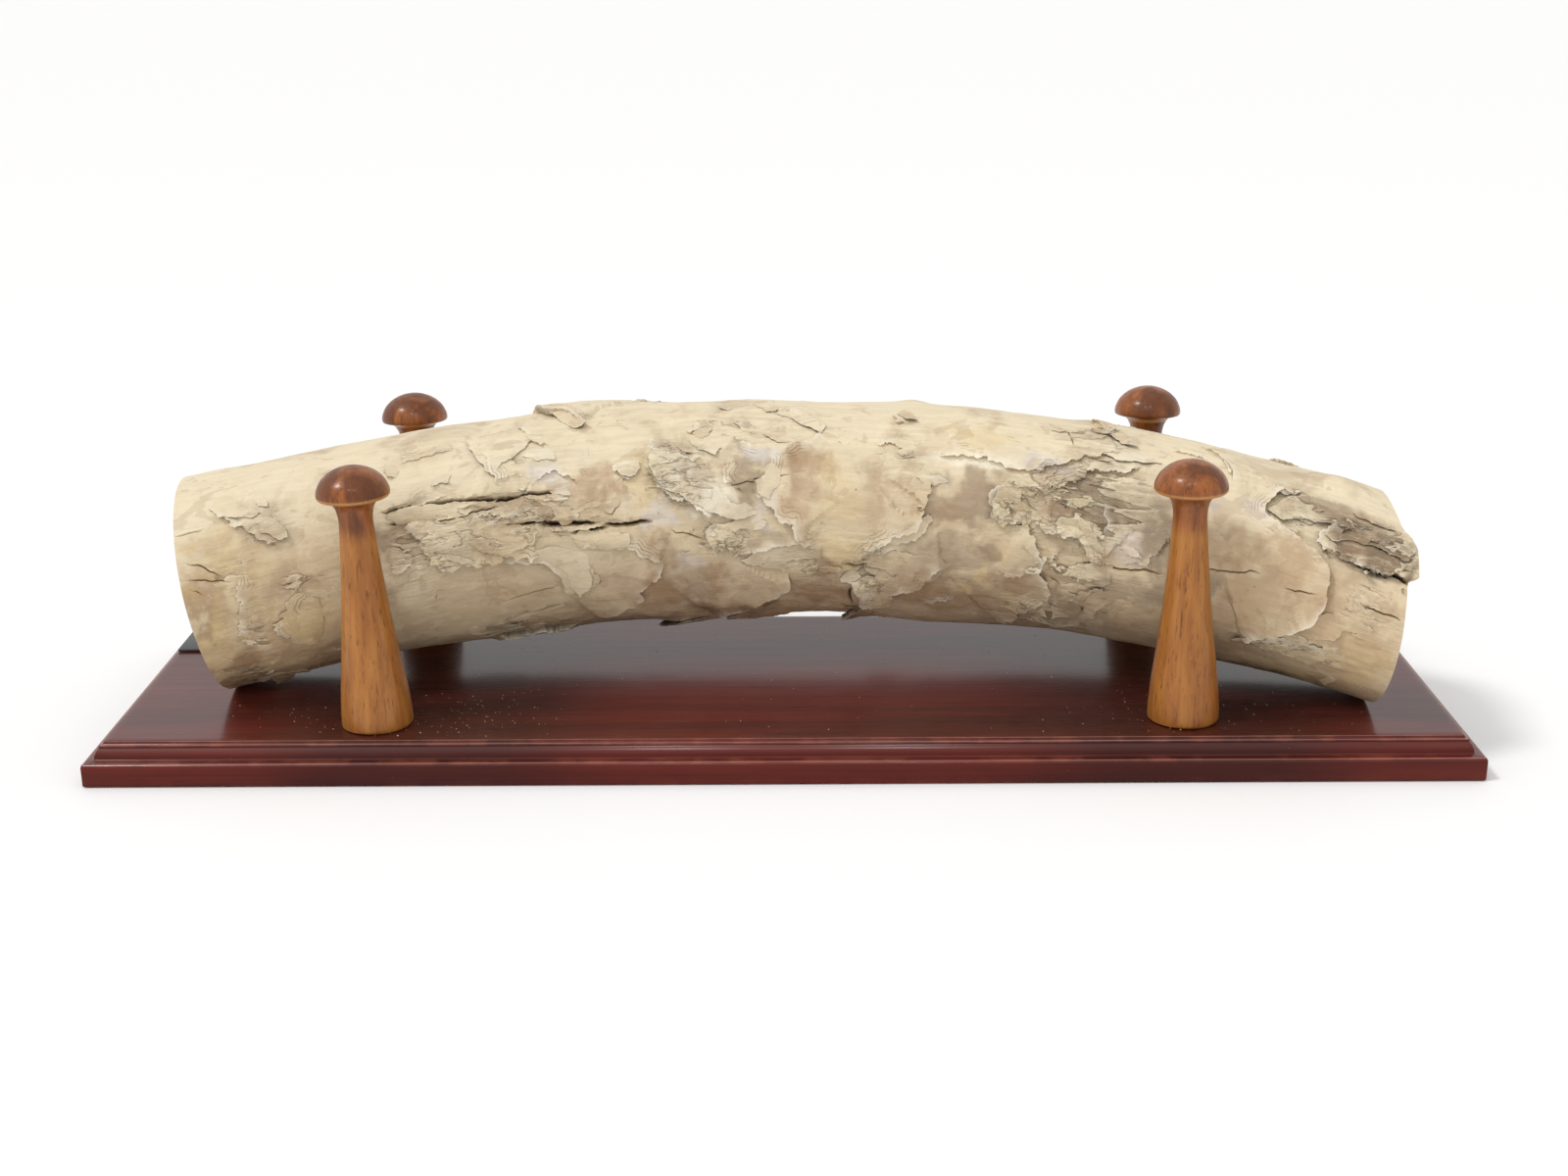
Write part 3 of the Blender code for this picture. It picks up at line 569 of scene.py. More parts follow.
def nearLine(spots, line, within):
    # which spots are near, how far, on which side (1 right), how far from the line's ends,
    # and the place on the line they are nearest to
    low = line.min(axis=0) - within
    high = line.max(axis=0) + within
    near = np.flatnonzero(np.all((spots > low) & (spots < high), axis=1))
    here = spots[near]
    best = np.full(len(near), 1e9)
    sure = np.zeros(len(near))
    side = np.zeros(len(near))
    nearest = np.zeros(len(near))
    lengths = np.linalg.norm(np.diff(line, axis=0), axis=1)
    for index, (start, stop, length) in enumerate(zip(line[:-1], line[1:], lengths)):
        way = (stop - start) / length
        rel = here - start
        share = np.clip(rel @ way, 0.0, length)
        off = rel - share[:, None] * way
        far = np.sqrt(off[:, 0] ** 2 + off[:, 1] ** 2)
        cross = way[0] * rel[:, 1] - way[1] * rel[:, 0]
        nearer = (far < best - 1e-6) | ((far < best + 1e-6) & (np.abs(cross) > sure))
        best = np.where(nearer, far, best)
        sure = np.where(nearer, np.abs(cross), sure)
        side = np.where(nearer, -np.sign(cross), side)
        nearest = np.where(nearer, index + share / length, nearest)
    total = np.concatenate([[0.0], np.cumsum(lengths)])
    run = np.interp(nearest, np.arange(len(line)), total)
    return near, best, side, np.minimum(run, total[-1] - run), nearest


def cloud(points, size, seed, octaves=3, stretch=1.0):
    # smooth noise between about -1 and 1, in the straightened tusk's own space
    scaled = points / np.array([size * stretch, size, size]) + seed * 7.31
    return np.array([noise.fractal(Vector(p), 0.7, 2.1, octaves) for p in scaled])


def bell(spots, along, around, long, wide):
    across = spots[:, 1] - around * degree
    across = np.where(across < -180 * degree, across + 360 * degree, across)
    return np.exp(-(((spots[:, 0] - along) / long) ** 2) - (across / wide) ** 2)


ledgeLines = [ragged(row[5], row[4], 100 + i) for i, row in enumerate(ledges)]
crackLines = [ragged(row[3], row[2] * crackLook["ragged"], 300 + i, 1.0) for i, row in enumerate(cracks)]


def raiseLedge(spots, row, line, lift, shift, masks):
    height, reach, hollow, lip = row[:4]
    near, far, side, fromEnds, at = nearLine(spots, line, ledgeLook["within"] * reach)
    above = side >= 0
    taper = ease(fromEnds / ledgeLook["taper"])
    high = height * np.exp(-far / reach)
    low = -hollow * np.exp(-far / (ledgeLook["footReach"] * reach))
    lift[near] += taper * np.where(above, high, low)
    left = leftOf(line)
    toLow = np.stack([np.interp(at, np.arange(len(line)), left[:, i]) for i in (0, 1)], 1)
    fade = np.exp(-far / ledgeLook["lipReach"]) * (far < ledgeLook["lipWithin"])
    amount = np.where(above, lip, -ledgeLook["footShift"] * lip) * fade * taper
    shift[near] += amount[:, None] * toLow
    curl = ledgeLook["curl"] * height * np.exp(-far / ledgeLook["curlReach"]) * taper
    lift[near] += np.where(above, curl, -ledgeLook["footCurl"] * curl)
    # a pale rim on the raised side: partly the fresh edge's own colour, partly a painted highlight
    lit = np.where(above, np.exp(-far / ledgeLook["rimReach"]), 0.0) * taper
    masks["rim"][near] = np.maximum(masks["rim"][near], lit)
    # painted shade at the ledge's foot, on the low side
    least, more, most = ledgeLook["shade"]
    shadeReach = ledgeLook["shadeReach"][0] + ledgeLook["shadeReach"][1] * height
    deep = np.exp(-far / shadeReach) * min(most, least + more * height)
    masks["hollow"][near] = np.maximum(masks["hollow"][near], np.where(above, 0.0, deep) * taper)
    shelf = masks["shelf"]
    counted = above & (taper > ledgeLook["shelfTaper"])
    shelf[near] = np.where(counted, np.minimum(shelf[near], far), shelf[near])


def openCrack(spots, row, line, lift, masks):
    width, depth = row[:2]
    margin, perWidth = crackLook["within"]
    near, far, _, fromEnds, at = nearLine(spots, line, margin + perWidth * width)
    taper = ease(fromEnds / crackLook["taper"])
    mean, swing, pace, offset = crackLook["swell"]
    half = width * crackLook["share"] * (mean + swing * np.sin(at * pace + width * offset))
    atEnds, onTheWay = crackLook["closing"]
    opened = np.clip(1.0 - far / (half * (atEnds + onTheWay * taper)), 0.0, 1.0)
    lift[near] -= depth * taper * opened
    # painted shade inside the crack
    least, more = crackLook["shade"]
    gain, atEnds, onTheWay = crackLook["fade"]
    dark = ease(opened * gain) * (atEnds + onTheWay * taper) * min(1.0, least + more * width)
    masks["hollow"][near] = np.maximum(masks["hollow"][near], dark)


def tuskRelief(spots):
    # lift above the smooth form, sideways shift, and the masks that the colours use
    count = len(spots)
    lift = np.zeros(count)
    shift = np.zeros((count, 2))
    masks = {name: np.zeros(count) for name in ("hollow", "rim", "rough")}
    masks["shelf"] = np.full(count, ledgeLook["shelf"])
    angle = spots[:, 1] / degree
    for along, around, long, wide, strong in roughPlaces:
        masks["rough"] = np.maximum(masks["rough"], strong * bell(spots, along, around, long, wide))
    high, pace, offset, turns, start = skinLook["longWave"]
    lift += high * np.sin(spots[:, 0] / pace + offset) * np.cos(np.radians(angle * turns + start))
    high, pace, swirl = skinLook["shortWave"]
    lift += high * np.sin(spots[:, 0] / pace + angle / swirl)
    for row, line in zip(ledges, ledgeLines):
        raiseLedge(spots, row, line, lift, shift, masks)
    for row, line in zip(cracks, crackLines):
        openCrack(spots, row, line, lift, masks)
    for along, around, long, wide, height in swellings:
        lift += height * bell(spots, along, around, long, wide)
    space = straightened(spots, 0.0)
    rough = np.clip(masks["rough"], 0.0, skinLook["mostRough"])
    high, size, octaves, stretch = skinLook["skin"]
    lift += high * cloud(space, size, 1, octaves, stretch)
    least, more, size, octaves, stretch = skinLook["streak"]
    streak = cloud(space, size, 2, octaves, stretch)
    lift += (least + more * rough) * streak
    # stacked layers broken back by different amounts
    size, octaves, stretch = skinLook["stepSize"]
    steps = cloud(space, size, 3, octaves, stretch) * skinLook["stepCount"]
    whole = np.floor(steps)
    part = ease((steps - whole - skinLook["stepEdge"][0]) / skinLook["stepEdge"][1])
    least, more, high = skinLook["stepHeight"]
    lift += (least + more * rough) * (whole + part) * high
    masks["shelf"] = masks["shelf"] / ledgeLook["shelf"]
    return lift, shift, masks


# colours of the tusk as (red, green, blue) on screen
tints = {
    "cream": (233, 219, 192),
    "bone": (218, 200, 170),
    "tan": (196, 169, 136),
    "brown": (158, 128, 98),
    "umber": (112, 86, 62),
    "taupe": (170, 151, 128),
    "lavender": (220, 212, 206),
    "honey": (224, 202, 156),
    "chalk": (244, 236, 218),
    "ash": (142, 128, 110),
    "straw": (208, 183, 138),
    "rose": (190, 160, 130),
}
warmth = np.array((1.0, 0.985, 0.93))
# How pale the top is and how brown the underside (partly the ivory's own tone, partly painted light and
# shade), and how far a patch's outline wanders.
tintLook = {
    "top": (1.5, 0.2),
    "under": (1.4, 0.1, 0.45),
    "driftSize": 20.0,
    "driftOctaves": 5,
    "drift": 13.0,
    "driftPerWidth": 1.1,
    "outline": (2.4, 0.5),
}
# Coloured places: tint, strength, where, how long and how wide in mm.
patches = [
    ("bone", 0.8, -150, -46, 100, 26), ("taupe", 0.8, 250, -44, 60, 24), ("tan", 0.6, 292, -4, 22, 30),
    ("taupe", 0.4, 120, -50, 60, 18), ("chalk", 0.8, -37, 19, 13, 7), ("chalk", 0.7, -58, 38, 8, 9),
    ("umber", 0.5, -34, -48, 22, 5), ("honey", 0.4, -262, -20, 26, 34), ("taupe", 0.5, 100, -26, 26, 14),
    ("cream", 0.5, -82, -46, 26, 8), ("bone", 0.6, 80, -58, 26, 8), ("straw", 0.8, -283, -2, 7, 30),
    ("brown", 0.6, -288, -6, 4, 26), ("brown", 0.5, -283, 12, 8, 3), ("tan", 0.7, -262, -55, 24, 9),
    ("brown", 0.8, -274, -52, 15, 11), ("umber", 0.5, -280, -60, 8, 8), ("brown", 0.6, -270, -32, 8, 4),
    ("chalk", 1.0, 262, -22.5, 27, 3.2), ("ash", 0.6, 172, 26, 24, 14), ("taupe", 0.5, -246, 8, 10, 6),
    ("bone", 0.9, -262, -14, 4, 20), ("umber", 0.7, -24, -54, 24, 7), ("umber", 0.9, 240, -64, 44, 10),
    ("bone", 0.4, -92, -50, 24, 9), ("bone", 0.4, 74, -44, 22, 8), ("ash", 0.6, -100, -66, 60, 8),
    ("straw", 0.6, -276, 12, 14, 26), ("honey", 0.4, -262, 22, 16, 12), ("bone", 0.7, -268, -4, 6, 22),
    ("tan", 0.6, -240, -34, 26, 16), ("brown", 0.5, -228, -48, 14, 9), ("honey", 0.4, -236, -12, 12, 12),
    ("cream", 0.6, -240, 62, 40, 22), ("bone", 0.5, -214, 34, 18, 14), ("tan", 0.4, -228, 14, 20, 9),
    ("taupe", 0.5, -205, 6, 10, 22), ("taupe", 0.9, -190, 15, 8, 9), ("bone", 0.6, -165, 15, 22, 10),
    ("tan", 0.5, -150, 5, 18, 4), ("cream", 0.5, -186, -12, 12, 7), ("tan", 0.3, -150, -20, 34, 13),
    ("bone", 0.7, -98, -16, 12, 14), ("straw", 0.9, -132, -53, 20, 6), ("umber", 0.5, -146, -50, 10, 4),
    ("cream", 0.5, -128, 55, 14, 12), ("lavender", 0.8, -113, 37, 9, 6), ("rose", 0.6, -108, 21, 9, 8),
    ("rose", 0.5, -126, 24, 9, 4), ("bone", 0.6, -84, -20, 14, 16), ("rose", 0.7, -92, 33, 13, 12),
    ("brown", 0.4, -92, 22, 9, 9), ("honey", 0.5, -72, 27, 9, 12), ("lavender", 0.7, -62, 10, 11, 7),
    ("cream", 0.5, -80, 55, 30, 10), ("brown", 0.7, -52, -26, 22, 17), ("rose", 0.6, -70, -38, 14, 14),
    ("lavender", 0.4, -48, -12, 8, 4), ("chalk", 0.7, -50, 34, 12, 10), ("bone", 0.7, -24, -24, 12, 12),
    ("taupe", 0.9, -20, 30, 10, 15), ("tan", 0.6, -26, 12, 10, 7), ("lavender", 0.8, -12, 43, 11, 5),
    ("lavender", 0.6, -8, 12, 5, 9), ("taupe", 0.6, -8, -2, 12, 5), ("cream", 0.6, -4, -12, 12, 5),
    ("tan", 0.9, 12, 37, 16, 8), ("rose", 0.6, 8, 20, 12, 9), ("brown", 0.5, 4, 32, 6, 8),
    ("honey", 0.4, 28, 22, 9, 26), ("cream", 0.5, 34, 44, 10, 10), ("brown", 0.7, 22, -16, 12, 10),
    ("honey", 0.5, 34, -8, 8, 7), ("tan", 0.5, 48, 22, 12, 16), ("brown", 0.6, 24, -38, 14, 12),
    ("bone", 0.8, 47, -24, 7, 14), ("bone", 0.6, 66, 42, 7, 16), ("taupe", 0.9, 96, 22, 26, 14),
    ("taupe", 0.7, 84, -8, 16, 8), ("brown", 0.5, 78, -34, 26, 16), ("honey", 0.5, 92, -28, 5, 4),
    ("honey", 0.6, 104, -20, 6, 5), ("honey", 0.5, 116, -6, 7, 5), ("umber", 0.5, 108, -6, 8, 5),
    ("brown", 0.5, 122, -22, 8, 6), ("honey", 0.4, 120, -32, 6, 5), ("honey", 0.5, 96, 58, 22, 6),
    # the chalk band at 94 along, 43.5 round: partly a pale bare facet, partly a painted highlight
    ("chalk", 1.0, 94, 43.5, 24, 3.2), ("lavender", 0.8, 130, 47, 16, 4), ("bone", 0.8, 115, 27, 7, 10),
    ("ash", 0.8, 150, 30, 20, 14), ("brown", 0.5, 138, 26, 12, 9), ("ash", 0.6, 180, 36, 16, 14),
    ("lavender", 0.6, 178, 10, 12, 6), ("bone", 0.7, 146, -4, 12, 7), ("taupe", 0.7, 176, -12, 24, 10),
    ("ash", 0.7, 196, 18, 10, 12), ("ash", 0.6, 206, -8, 14, 10), ("taupe", 0.6, 160, -38, 24, 12),
    ("lavender", 0.7, 206, 40, 9, 7), ("bone", 0.6, 214, 24, 7, 7), ("tan", 0.8, 244, 10, 26, 22),
    ("cream", 0.5, 240, 14, 6, 5), ("cream", 0.5, 246, 24, 5, 4), ("cream", 0.4, 228, 8, 4, 4),
    ("cream", 0.4, 258, 4, 5, 4), ("lavender", 0.5, 232, 46, 8, 6), ("rose", 0.6, 248, 56, 8, 6),
    ("ash", 1.0, 292, 45, 26, 11), ("umber", 0.5, 296, 38, 20, 5), ("taupe", 0.8, 262, 58, 22, 6),
    ("umber", 0.4, 282, 50, 14, 3), ("brown", 0.6, 268, 52, 12, 5), ("straw", 0.6, 266, -24, 26, 7),
    ("chalk", 0.5, 260, -21, 22, 4), ("bone", 0.7, 296, 12, 16, 14), ("rose", 0.5, 283, 3, 8, 5),
    ("tan", 0.5, 282, -42, 24, 14), ("honey", 0.3, 252, -52, 26, 10), ("straw", 0.5, 300, -20, 14, 14),
    ("tan", 0.6, -60, 150, 70, 30), ("rose", 0.5, 90, 130, 60, 24), ("taupe", 0.6, 180, 160, 60, 30),
    ("bone", 0.7, -200, 170, 50, 40), ("brown", 0.5, 10, -130, 70, 26), ("taupe", 0.6, -160, -120, 50, 26),
    ("lavender", 0.5, 40, 160, 30, 16), ("lavender", 0.5, -110, 130, 26, 12),
    ("ash", 0.6, 230, -140, 40, 26), ("straw", 0.5, 120, -160, 50, 26), ("honey", 0.4, -40, -170, 60, 24),
    ("rose", 0.4, -250, -150, 26, 26),
]


def toneOf(name):
    return np.array(paint(*tints[name])[:3])


def tuskColour(spots, space):
    high = np.sin(np.radians(spots[:, 1] / degree))[:, None]
    # paler on top and browner underneath: partly the ivory's own tone, partly painted light and painted
    # shade
    slope, start = tintLook["top"]
    colour = toneOf("bone") + (toneOf("cream") - toneOf("bone")) * ease(high * slope - start)
    slope, start, most = tintLook["under"]
    colour = colour + (toneOf("tan") - colour) * ease(-high * slope + start) * most
    drift = np.stack(
        [cloud(space, tintLook["driftSize"], seed, tintLook["driftOctaves"]) for seed in (21, 22)], axis=1
    )
    slope, start = tintLook["outline"]
    for name, strength, along, around, long, wide in patches:
        moved = spots + drift * min(tintLook["drift"], tintLook["driftPerWidth"] * wide)
        share = strength * ease(slope * bell(moved, along, around, long, wide) - start)
        colour = colour + (toneOf(name) - colour) * share[:, None]
    return colour * warmth


def tuskOutline(angles):
    # the chart's border: along the seam at the back and round both ends
    left, right = tusk["leftEnd"], tusk["rightEnd"]
    first, last = endAt(left, 180.0), endAt(right, 180.0)
    seam = np.linspace(first, last, int((last - first) / tusk["backStep"]))
    outline = [(s, -180.0) for s in seam]
    outline += [(endAt(right, a), a) for a in angles[1:-1]]
    outline += [(s, 180.0) for s in seam[::-1]]
    outline += [(endAt(left, a), a) for a in angles[-2:0:-1]]
    return [Vector((s, a * degree)) for s, a in outline]


def tuskChart(angles):
    # points and faces of the chart, with rows of points along each ledge and crack
    spots = tuskOutline(angles)
    face = list(range(len(spots)))
    edges = []
    taken = []

    def addRow(row):
        row = row[insideEnds(row, tusk["rowMargin"])]
        start = len(spots)
        spots.extend(Vector(spot) for spot in row)
        edges.extend((start + i, start + i + 1) for i in range(len(row) - 1))
        taken.extend(row)

    for line in ledgeLines:
        left = leftOf(line, 3)
        for off in tusk["ledgeRows"]:
            addRow(line + off * left)
    for row, line in zip(cracks, crackLines):
        left = leftOf(line)
        half = row[0] * crackLook["share"]
        for off in (-half, 0.0, half):
            addRow(line + off * left)
    tree = kdtree.KDTree(len(taken))
    for index, spot in enumerate(taken):
        tree.insert((spot[0], spot[1], 0.0), index)
    tree.balance()
    dice = np.random.default_rng(tusk["seed"])
    for low, high, title in tusk["bands"]:
        step = tusk[title]
        rows = np.arange(low * degree, high * degree, step * tusk["rowShare"])
        for row, v in enumerate(rows):
            along = np.arange(-300.0 + 0.5 * step * (row % 2), 320.0, step)
            line = np.stack([along, np.full(len(along), v)], axis=1)
            line += dice.uniform(-tusk["jitter"], tusk["jitter"], line.shape) * step
            for spot in line[insideEnds(line, tusk["spotMargin"])]:
                if tree.find((spot[0], spot[1], 0.0))[2] > tusk["rowClear"]:
                    spots.append(Vector(spot))
    made, _, faces, _, _, _ = geometry.delaunay_2d_cdt(spots, edges, [face], 1, 1e-4)
    return np.array([(v.x, v.y) for v in made]), faces


def sewn(made):
    # for each point of the chart, the one it is sewn to: the seam's two sides are one
    twins = np.flatnonzero(np.abs(made[:, 1] - 180.0 * degree) < 1e-3)
    front = np.flatnonzero(np.abs(made[:, 1] + 180.0 * degree) < 1e-3)
    same = np.arange(len(made))
    for index in twins:
        same[index] = front[np.argmin(np.abs(made[front, 0] - made[index, 0]))]
    return same


# The sawn ends: rings from the rim inwards, how deep they are dished and rippled, and splits
# as angle, how far in they reach, half width and depth.
endLook = {
    "rings": (0.975, 0.93, 0.88, 0.82, 0.75, 0.67, 0.58, 0.49, 0.40, 0.31, 0.22, 0.13, 0.05),
    "dish": (0.4, 2.6, 1.5),
    "ripple": (0.35, 34.0),
    "core": (0.62, 0.5),
    "middle": 3.8,
    "middleShade": 0.3,
    "splitShade": 2.5,
    "masks": {"rim": 0.0, "rough": 0.5, "shelf": 1.0, "cap": 1.0},
    "tint": ("honey", 0.80, 0.20),
    "splits": (
        (0.5, 0.2, 0.05, 2.2), (2.2, 0.35, 0.045, 1.8), (3.7, 0.15, 0.05, 2.4), (5.1, 0.45, 0.04, 1.6),
        (1.3, 0.6, 0.035, 1.2), (4.4, 0.65, 0.035, 1.2),
    ),
}


def endDepth(turn, share):
    # how deep one ring lies below the rim, and how much of that is split open
    bevel, dish, power = endLook["dish"]
    depth = bevel + dish * (1.0 - share) ** power
    high, pace = endLook["ripple"]
    core, drop = endLook["core"]
    depth += high * math.sin(share * pace) + drop * (share < core)
    split = np.zeros(len(turn))
    for at, low, wide, deep in endLook["splits"]:
        off = (turn - at + 0.1 * math.sin(share * 9.0) + math.pi) % (2 * math.pi) - math.pi
        split += deep * np.clip(1.0 - np.abs(off) * share / wide, 0.0, 1.0) * (share > low)
    return depth, split


def closeEnd(skin, faces, rim, turn, forward):
    ring = np.array([skin["points"][i] for i in rim])
    ringGrown = np.array([skin["grown"][i] for i in rim])
    middle = ring.mean(axis=0)
    middleGrown = ringGrown.mean(axis=0)
    way = np.cross(ring[0] - middle, ring[len(ring) // 4] - middle)
    way *= (1.0 if forward else -1.0) * np.sign(way[0]) / np.linalg.norm(way)
    count = len(rim)
    outer = rim
    tint, least, more = endLook["tint"]
    for share in endLook["rings"]:
        depth, split = endDepth(turn, share)
        rows = middle + (ring - middle) * share - way * (depth + split)[:, None]
        first = len(skin["points"])
        skin["points"] += list(map(tuple, rows))
        skin["grown"] += list(map(tuple, middleGrown + (ringGrown - middleGrown) * share))
        skin["tint"] += [tuple(toneOf(tint) * (least + more * share))] * count
        skin["hollow"] += list(np.clip(split / endLook["splitShade"], 0.0, 1.0))
        for name, value in endLook["masks"].items():
            skin[name] += [value] * count
        inner = list(range(first, first + count))
        for i in range(count):
            j = (i + 1) % count
            faces.append([outer[i], outer[j], inner[j], inner[i]])
        outer = inner
    skin["points"].append(tuple(middle - way * endLook["middle"]))
    skin["grown"].append(tuple(middleGrown))
    skin["tint"].append(skin["tint"][-1])
    skin["hollow"].append(endLook["middleShade"])
    for name, value in endLook["masks"].items():
        skin[name].append(value)
    for i in range(count):
        faces.append([outer[i], outer[(i + 1) % count], len(skin["points"]) - 1])


def tuskMesh():
    angles = np.arange(-180.0, 180.1, tusk["endStep"])
    made, faces = tuskChart(angles)
    print("tusk laid out:", len(made), "points,", len(faces), "faces")
    lift, shift, masks = tuskRelief(made)
    edgeFade = ease(np.minimum(
        made[:, 0] - endAt(tusk["leftEnd"], made[:, 1] / degree),
        endAt(tusk["rightEnd"], made[:, 1] / degree) - made[:, 0],
    ) / tusk["endFade"])[:, None]
    moved = made + shift * edgeFade
    space = straightened(made, lift)
    skin = {name: list(values) for name, values in masks.items()}
    skin["points"] = list(map(tuple, tuskPoint(moved[:, 0], moved[:, 1] / degree, lift)))
    skin["grown"] = list(map(tuple, space))
    skin["tint"] = list(map(tuple, tuskColour(made, space)))
    skin["cap"] = [0.0] * len(made)
    same = sewn(made)
    faces = [[int(same[i]) for i in corners] for corners in faces]
    for end, forward in ((tusk["leftEnd"], False), (tusk["rightEnd"], True)):
        rim = []
        for angle in angles[:-1]:
            target = np.array([endAt(end, angle), angle * degree])
            rim.append(int(same[int(np.argmin(np.linalg.norm(made - target, axis=1)))]))
        closeEnd(skin, faces, rim, np.radians(angles[:-1]), forward)
    return skin, faces


def settle(points):
    # lowers and tips the tusk until the lowest point of each half rests on the board
    floor = boardTop + gap
    slopes = []
    for _ in range(4):
        low = []
        for half in (points[:, 0] < 0, points[:, 0] > 0):
            index = np.flatnonzero(half)[np.argmin(points[half, 2])]
            low.append((points[index, 0], points[index, 2] - floor))
        slope = (low[1][1] - low[0][1]) / (low[1][0] - low[0][0])
        slopes.append((low[0][1] - slope * low[0][0], slope))
        points[:, 2] -= low[0][1] + slope * (points[:, 0] - low[0][0])
    return slopes


def meshObject(name, points, faces, material, smooth):
    mesh = bpy.data.meshes.new(name)
    mesh.from_pydata([tuple(p) for p in np.array(points) * mm], [], faces)
    mesh.validate()
    work = bmesh.new()
    work.from_mesh(mesh)
    bmesh.ops.recalc_face_normals(work, faces=work.faces)
    work.to_mesh(mesh)
    work.free()
    mesh.shade_smooth()
    mesh.set_sharp_from_angle(angle=math.radians(smooth))
    mesh.materials.append(material)
    made = bpy.data.objects.new(name, mesh)
    scene.collection.objects.link(made)
    return made


def addMask(made, name, values):
    # one value, a place or a colour for each point of the mesh
    kind, title = {"grown": ("FLOAT_VECTOR", "vector"), "tint": ("FLOAT_COLOR", "color")}.get(
        name, ("FLOAT", "value")
    )
    values = np.array(values, np.float32)
    if name == "tint":
        values = np.concatenate([values, np.ones((len(values), 1), np.float32)], axis=1)
    made.data.attributes.new(name, kind, "POINT").data.foreach_set(title, values.ravel())


def skinObject(name, points, skin, faces, smooth):
    made = meshObject(name, points, faces, ivory, smooth)
    addMask(made, "grown", np.array(skin["grown"]) * mm)
    for title in ("tint", "hollow", "rim", "rough", "shelf", "cap"):
        addMask(made, title, skin[title])
    return made


# the tusk's surface: bare dentine in fine layers, checked and stained
ivoryLook = {
    "fibreStretch": (0.12, 1.0, 1.0),
    "checkStretch": (0.14, 1.0, 1.0),
    "layerStretch": (0.36, 1.0, 1.0),
    "layer": 0.00055,
    "roughness": 0.56,
}


